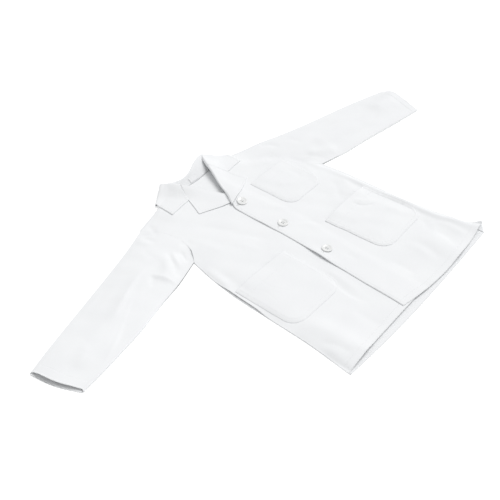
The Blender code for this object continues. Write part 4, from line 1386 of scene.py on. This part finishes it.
def make_pocket(name, side, corner, width, depth, radius, turn):
    """Patch pocket with round bottom corners, sewn on all round but for its mouth."""
    down = np.r_[np.linspace(0, radius, 28)[:-1], np.linspace(radius, depth, 84)]
    columns = 104
    local = np.zeros((len(down), columns, 2))
    for i, d in enumerate(down):
        inset = radius - np.sqrt(max(radius ** 2 - max(radius - d, 0) ** 2, 0))
        local[i, :, 0] = np.linspace(inset, width - inset, columns)
        local[i, :, 1] = d - depth
    plan = pocket_to_plan(local, side, corner, turn)
    outline = pocket_to_plan(pocket_outline(width, depth, radius, 0), side, corner, turn)
    mouth = pocket_to_plan(np.array([(0, 0), (width, 0)], float), side, corner, turn)
    total = length_of(outline)
    fullness = POCKET_FULLNESS[name]

    def offset(x, y):
        """Height above the front: sewn down at the edge, puffed inside, slack at the mouth."""
        d = nearest(x, y, outline)[0]
        from_mouth = nearest(x, y, mouth)[0]
        flat = SEWN + (STACK + 0.3 - SEWN) * ease(d / 9)
        puff = 0.9 * fullness * ease((d - 6) / 30)
        gape = 1.4 * fullness * ease(d / 34) * bell(from_mouth / 16)
        return flat + puff + gape

    def mid_height(x, y):
        own = pressed(x, y, POCKET_CREASES) * ease(nearest(x, y, outline)[0] / 12)
        return front_mid(x, y, side) + np.maximum(offset(x, y) + own, SEWN)

    def thickness(x, y):
        d, along, _ = nearest(x, y, outline)
        from_mouth, run, _ = nearest(x, y, mouth)
        bulk = turned_edge(d, along * total, POCKET_INSETS[0], 0.0, fullness)
        bulk = bulk + turned_edge(d, along * total + 7, POCKET_INSETS[1], 0.3 * fullness, fullness)
        bulk = bulk + turned_edge(from_mouth, run * width, POCKET_HEM, 0.15, 0.35 * fullness)
        return POCKET_WALL / 2 + bulk - 0.22 * bell(d / 1.4)

    x, y = plan[..., 0], plan[..., 1]
    mid = np.dstack([plan, mid_height(x, y)])
    obj = shell(name + "_cloth", mid, thickness(x, y), POCKET_WALL / 2, white_cloth(name), plan)[0]
    finish_piece(obj, [name])

    def height(px, py):
        return mid_height(px, py) + thickness(px, py)

    lines = []
    for inset in POCKET_INSETS:
        local_line = pocket_outline(width, depth, radius, inset)
        line = pocket_to_plan(even(local_line, 300), side, corner, turn)
        lines.append(surface_line(line[3:-3], height))
    hem = np.column_stack([np.linspace(POCKET_INSETS[0], width - POCKET_INSETS[0], 120),
                           np.full(120, -POCKET_HEM)])
    lines.append(surface_line(pocket_to_plan(hem, side, corner, turn), height))
    seams = sew(name + "_stitches", lines)
    return obj, seams


BUTTON_PROFILE = [   # radius and height around a sew-through button, from the middle of its top
    (0.0, 1.75), (2.0, 1.75), (4.0, 1.78), (5.4, 1.85), (6.3, 2.05), (7.0, 2.4), (7.6, 2.75),
    (8.2, 2.95), (8.8, 3.0), (9.3, 2.9), (9.7, 2.6), (9.95, 2.1), (10.0, 1.5), (9.8, 0.9),
    (9.3, 0.4), (8.5, 0.1), (7.5, 0.0), (0.0, 0.0)]
BUTTON_TURNS = 64
HOLE_RADIUS = 0.95
HOLE_APART = 1.75      # from the button's middle to a hole's, along each axis


def button_rest(x, y):
    """Height and tilts of the cloth's top under a button."""
    spots = np.linspace(0, 2 * np.pi, 24, endpoint=False)
    around_x = np.r_[x, x + BUTTON_RADIUS * np.cos(spots)]
    around_y = np.r_[y, y + BUTTON_RADIUS * np.sin(spots)]
    resting = front_top(around_x, around_y, LEFT)
    offsets = np.column_stack([around_x - x, around_y - y, np.ones(len(around_x))])
    plane = np.linalg.lstsq(offsets, resting, rcond=None)[0]
    return plane[2] + (resting - offsets @ plane).max() + 0.03, plane[0], plane[1]


def button_disc(name, x, y):
    """The turned disc of a button, lying along the cloth, and the height of its underside."""
    floor, tilt_x, tilt_y = button_rest(x, y)
    profile = BUTTON_PROFILE[1:-1]
    turns = BUTTON_TURNS
    verts = [(x, y, floor + BUTTON_PROFILE[0][1] * BUTTON_SQUASH)]
    for r, z in profile:
        out = r * BUTTON_RADIUS / 10
        for a in 2 * np.pi * np.arange(turns) / turns:
            dx, dy = out * np.cos(a), out * np.sin(a)
            verts.append((x + dx, y + dy, floor + z * BUTTON_SQUASH + tilt_x * dx + tilt_y * dy))
    verts.append((x, y, floor))
    faces = []
    for k in range(turns):
        m = (k + 1) % turns
        faces.append((0, 1 + k, 1 + m))
        for ring in range(len(profile) - 1):
            a = 1 + ring * turns
            faces.append((a + k, a + turns + k, a + turns + m, a + m))
        a = 1 + (len(profile) - 1) * turns
        faces.append((a + m, a + k, len(verts) - 1))
    return make_object(name + "_disc", verts, faces, plastic_material(name + "_polyester")), floor


def drill_holes(obj, x, y, floor):
    """Cut the four sewing holes through a button."""
    drills = []
    for sx in (-1, 1):
        for sy in (-1, 1):
            centre = (x + sx * HOLE_APART, y + sy * HOLE_APART, floor + 1)
            bpy.ops.mesh.primitive_cylinder_add(vertices=20, radius=HOLE_RADIUS * MM, depth=12 * MM,
                                                location=[c * MM for c in centre])
            drills.append(bpy.context.object)
    for drill in drills:
        cut = obj.modifiers.new("hole", "BOOLEAN")
        cut.operation = "DIFFERENCE"
        cut.solver = "EXACT"
        cut.object = drill
    graph = bpy.context.evaluated_depsgraph_get()
    cut_mesh = bpy.data.meshes.new_from_object(obj.evaluated_get(graph))
    obj.modifiers.clear()
    obj.data = cut_mesh
    for drill in drills:
        bpy.data.objects.remove(drill, do_unlink=True)
    obj.data.set_sharp_from_angle(angle=math.radians(40))


def make_button(number, centre):
    """Four-hole button with a raised rim, sewn through with two bars of thread."""
    x, y = centre
    name = "button_%d" % number
    obj, floor = button_disc(name, x, y)
    drill_holes(obj, x, y, floor)
    finish_piece(obj, [name])
    centres, directions = [], []
    for sy in (-1, 1):
        for shift in (-0.42, 0.0, 0.42):
            centres.append((x, y + sy * HOLE_APART + shift, floor + 2.0 - abs(shift) * 0.4))
            directions.append((1.0, 0.06 * shift, 0.0))
    ups = np.tile([0, 0, 1.0], (len(centres), 1))
    thread = bars(name + "_thread", np.array(centres), np.array(directions), ups, 4.6, 0.62)
    finish_piece(thread)
    return obj


def make_buttonholes():
    """Buttonholes across the left front, each worked all round in close satin stitches."""
    centres, directions = [], []
    half, lane = 12.0, 0.85
    for x, y in BUTTONS:
        for row in (-1, 1):
            for dx in np.arange(-half, half, 0.5):
                centres.append((x + dx - 1.5, y + row * lane))
                directions.append((0.1, 1.0))
        for end in (-1, 1):
            for dy in np.arange(-1.5, 1.6, 0.5):
                centres.append((x + end * (half + 0.4) - 1.5, y + dy))
                directions.append((1.0, 0.0))
    plan = np.array(centres)
    points, normals = surface_line(plan, lambda x, y: front_top(x, y, LEFT))
    directions = np.column_stack([np.array(directions), np.zeros(len(directions))])
    directions = directions - (directions * normals).sum(1, keepdims=True) * normals
    obj = bars("buttonhole_stitches", points + normals * 0.1, directions, normals, 1.5, 0.55)
    finish_piece(obj)
    return obj


# ---------------------------------------------------------------- stage

def make_floor():
    material = new_material("floor_paper", {
        "Base Color": (FLOOR_WHITE,) * 3 + (1,), "Roughness": 0.9, "Specular IOR Level": 0.1,
        "Emission Color": (1, 1, 1, 1), "Emission Strength": FLOOR_GLOW})[0]
    bpy.ops.mesh.primitive_plane_add(size=FLOOR_SIZE, location=(0, 0, -0.0001))
    floor = bpy.context.object
    floor.name = "floor"
    floor.data.materials.append(material)


def make_light():
    world = bpy.data.worlds.new("studio")
    world.use_nodes = True
    fill(world.node_tree, world.node_tree.nodes["Background"],
         {"Color": (1, 1, 1, 1), "Strength": WORLD_STRENGTH})
    bpy.context.scene.world = world
    key = bpy.data.lights.new("key", "SUN")
    key.energy = KEY_STRENGTH
    key.angle = math.radians(KEY_SPREAD)
    lamp = bpy.data.objects.new("key", key)
    lamp.rotation_euler = Vector(KEY_FROM).to_track_quat("Z", "Y").to_euler()
    bpy.context.scene.collection.objects.link(lamp)


def make_camera():
    lens = bpy.data.cameras.new("camera")
    lens.lens = CAMERA_LENS
    lens.sensor_width = CAMERA_SENSOR
    camera = bpy.data.objects.new("camera", lens)
    back = unit(CAMERA_BACK)
    right = unit(np.cross([0, 0, 1], back))
    up = np.cross(back, right)
    turn = Matrix([list(row) for row in np.column_stack([right, up, back])])
    camera.matrix_world = Matrix.Translation(CAMERA_PLACE) @ turn.to_4x4()
    bpy.context.scene.collection.objects.link(camera)
    bpy.context.scene.camera = camera
    bpy.context.scene.view_settings.view_transform = "Standard"


def make_stage():
    """Pale paper floor, soft studio light and the photo's viewpoint."""
    make_floor()
    make_light()
    make_camera()


# ---------------------------------------------------------------- coat

def build():
    back = make_back()
    for side, word in SIDES:
        front, seams = make_front(side, word)
        sleeve, seams = make_sleeve(side, word)
        lapel, seams = make_lapel(side, word)
    collar, seams = make_collar()
    label = make_label()
    for name, (side, corner, width, depth, radius, turn) in POCKETS.items():
        pocket, seams = make_pocket(name, side, corner, width, depth, radius, turn)
        word = "left" if side == LEFT else "right"
    for number, centre in enumerate(BUTTONS, 1):
        make_button(number, centre)
    make_buttonholes()


build()
make_stage()
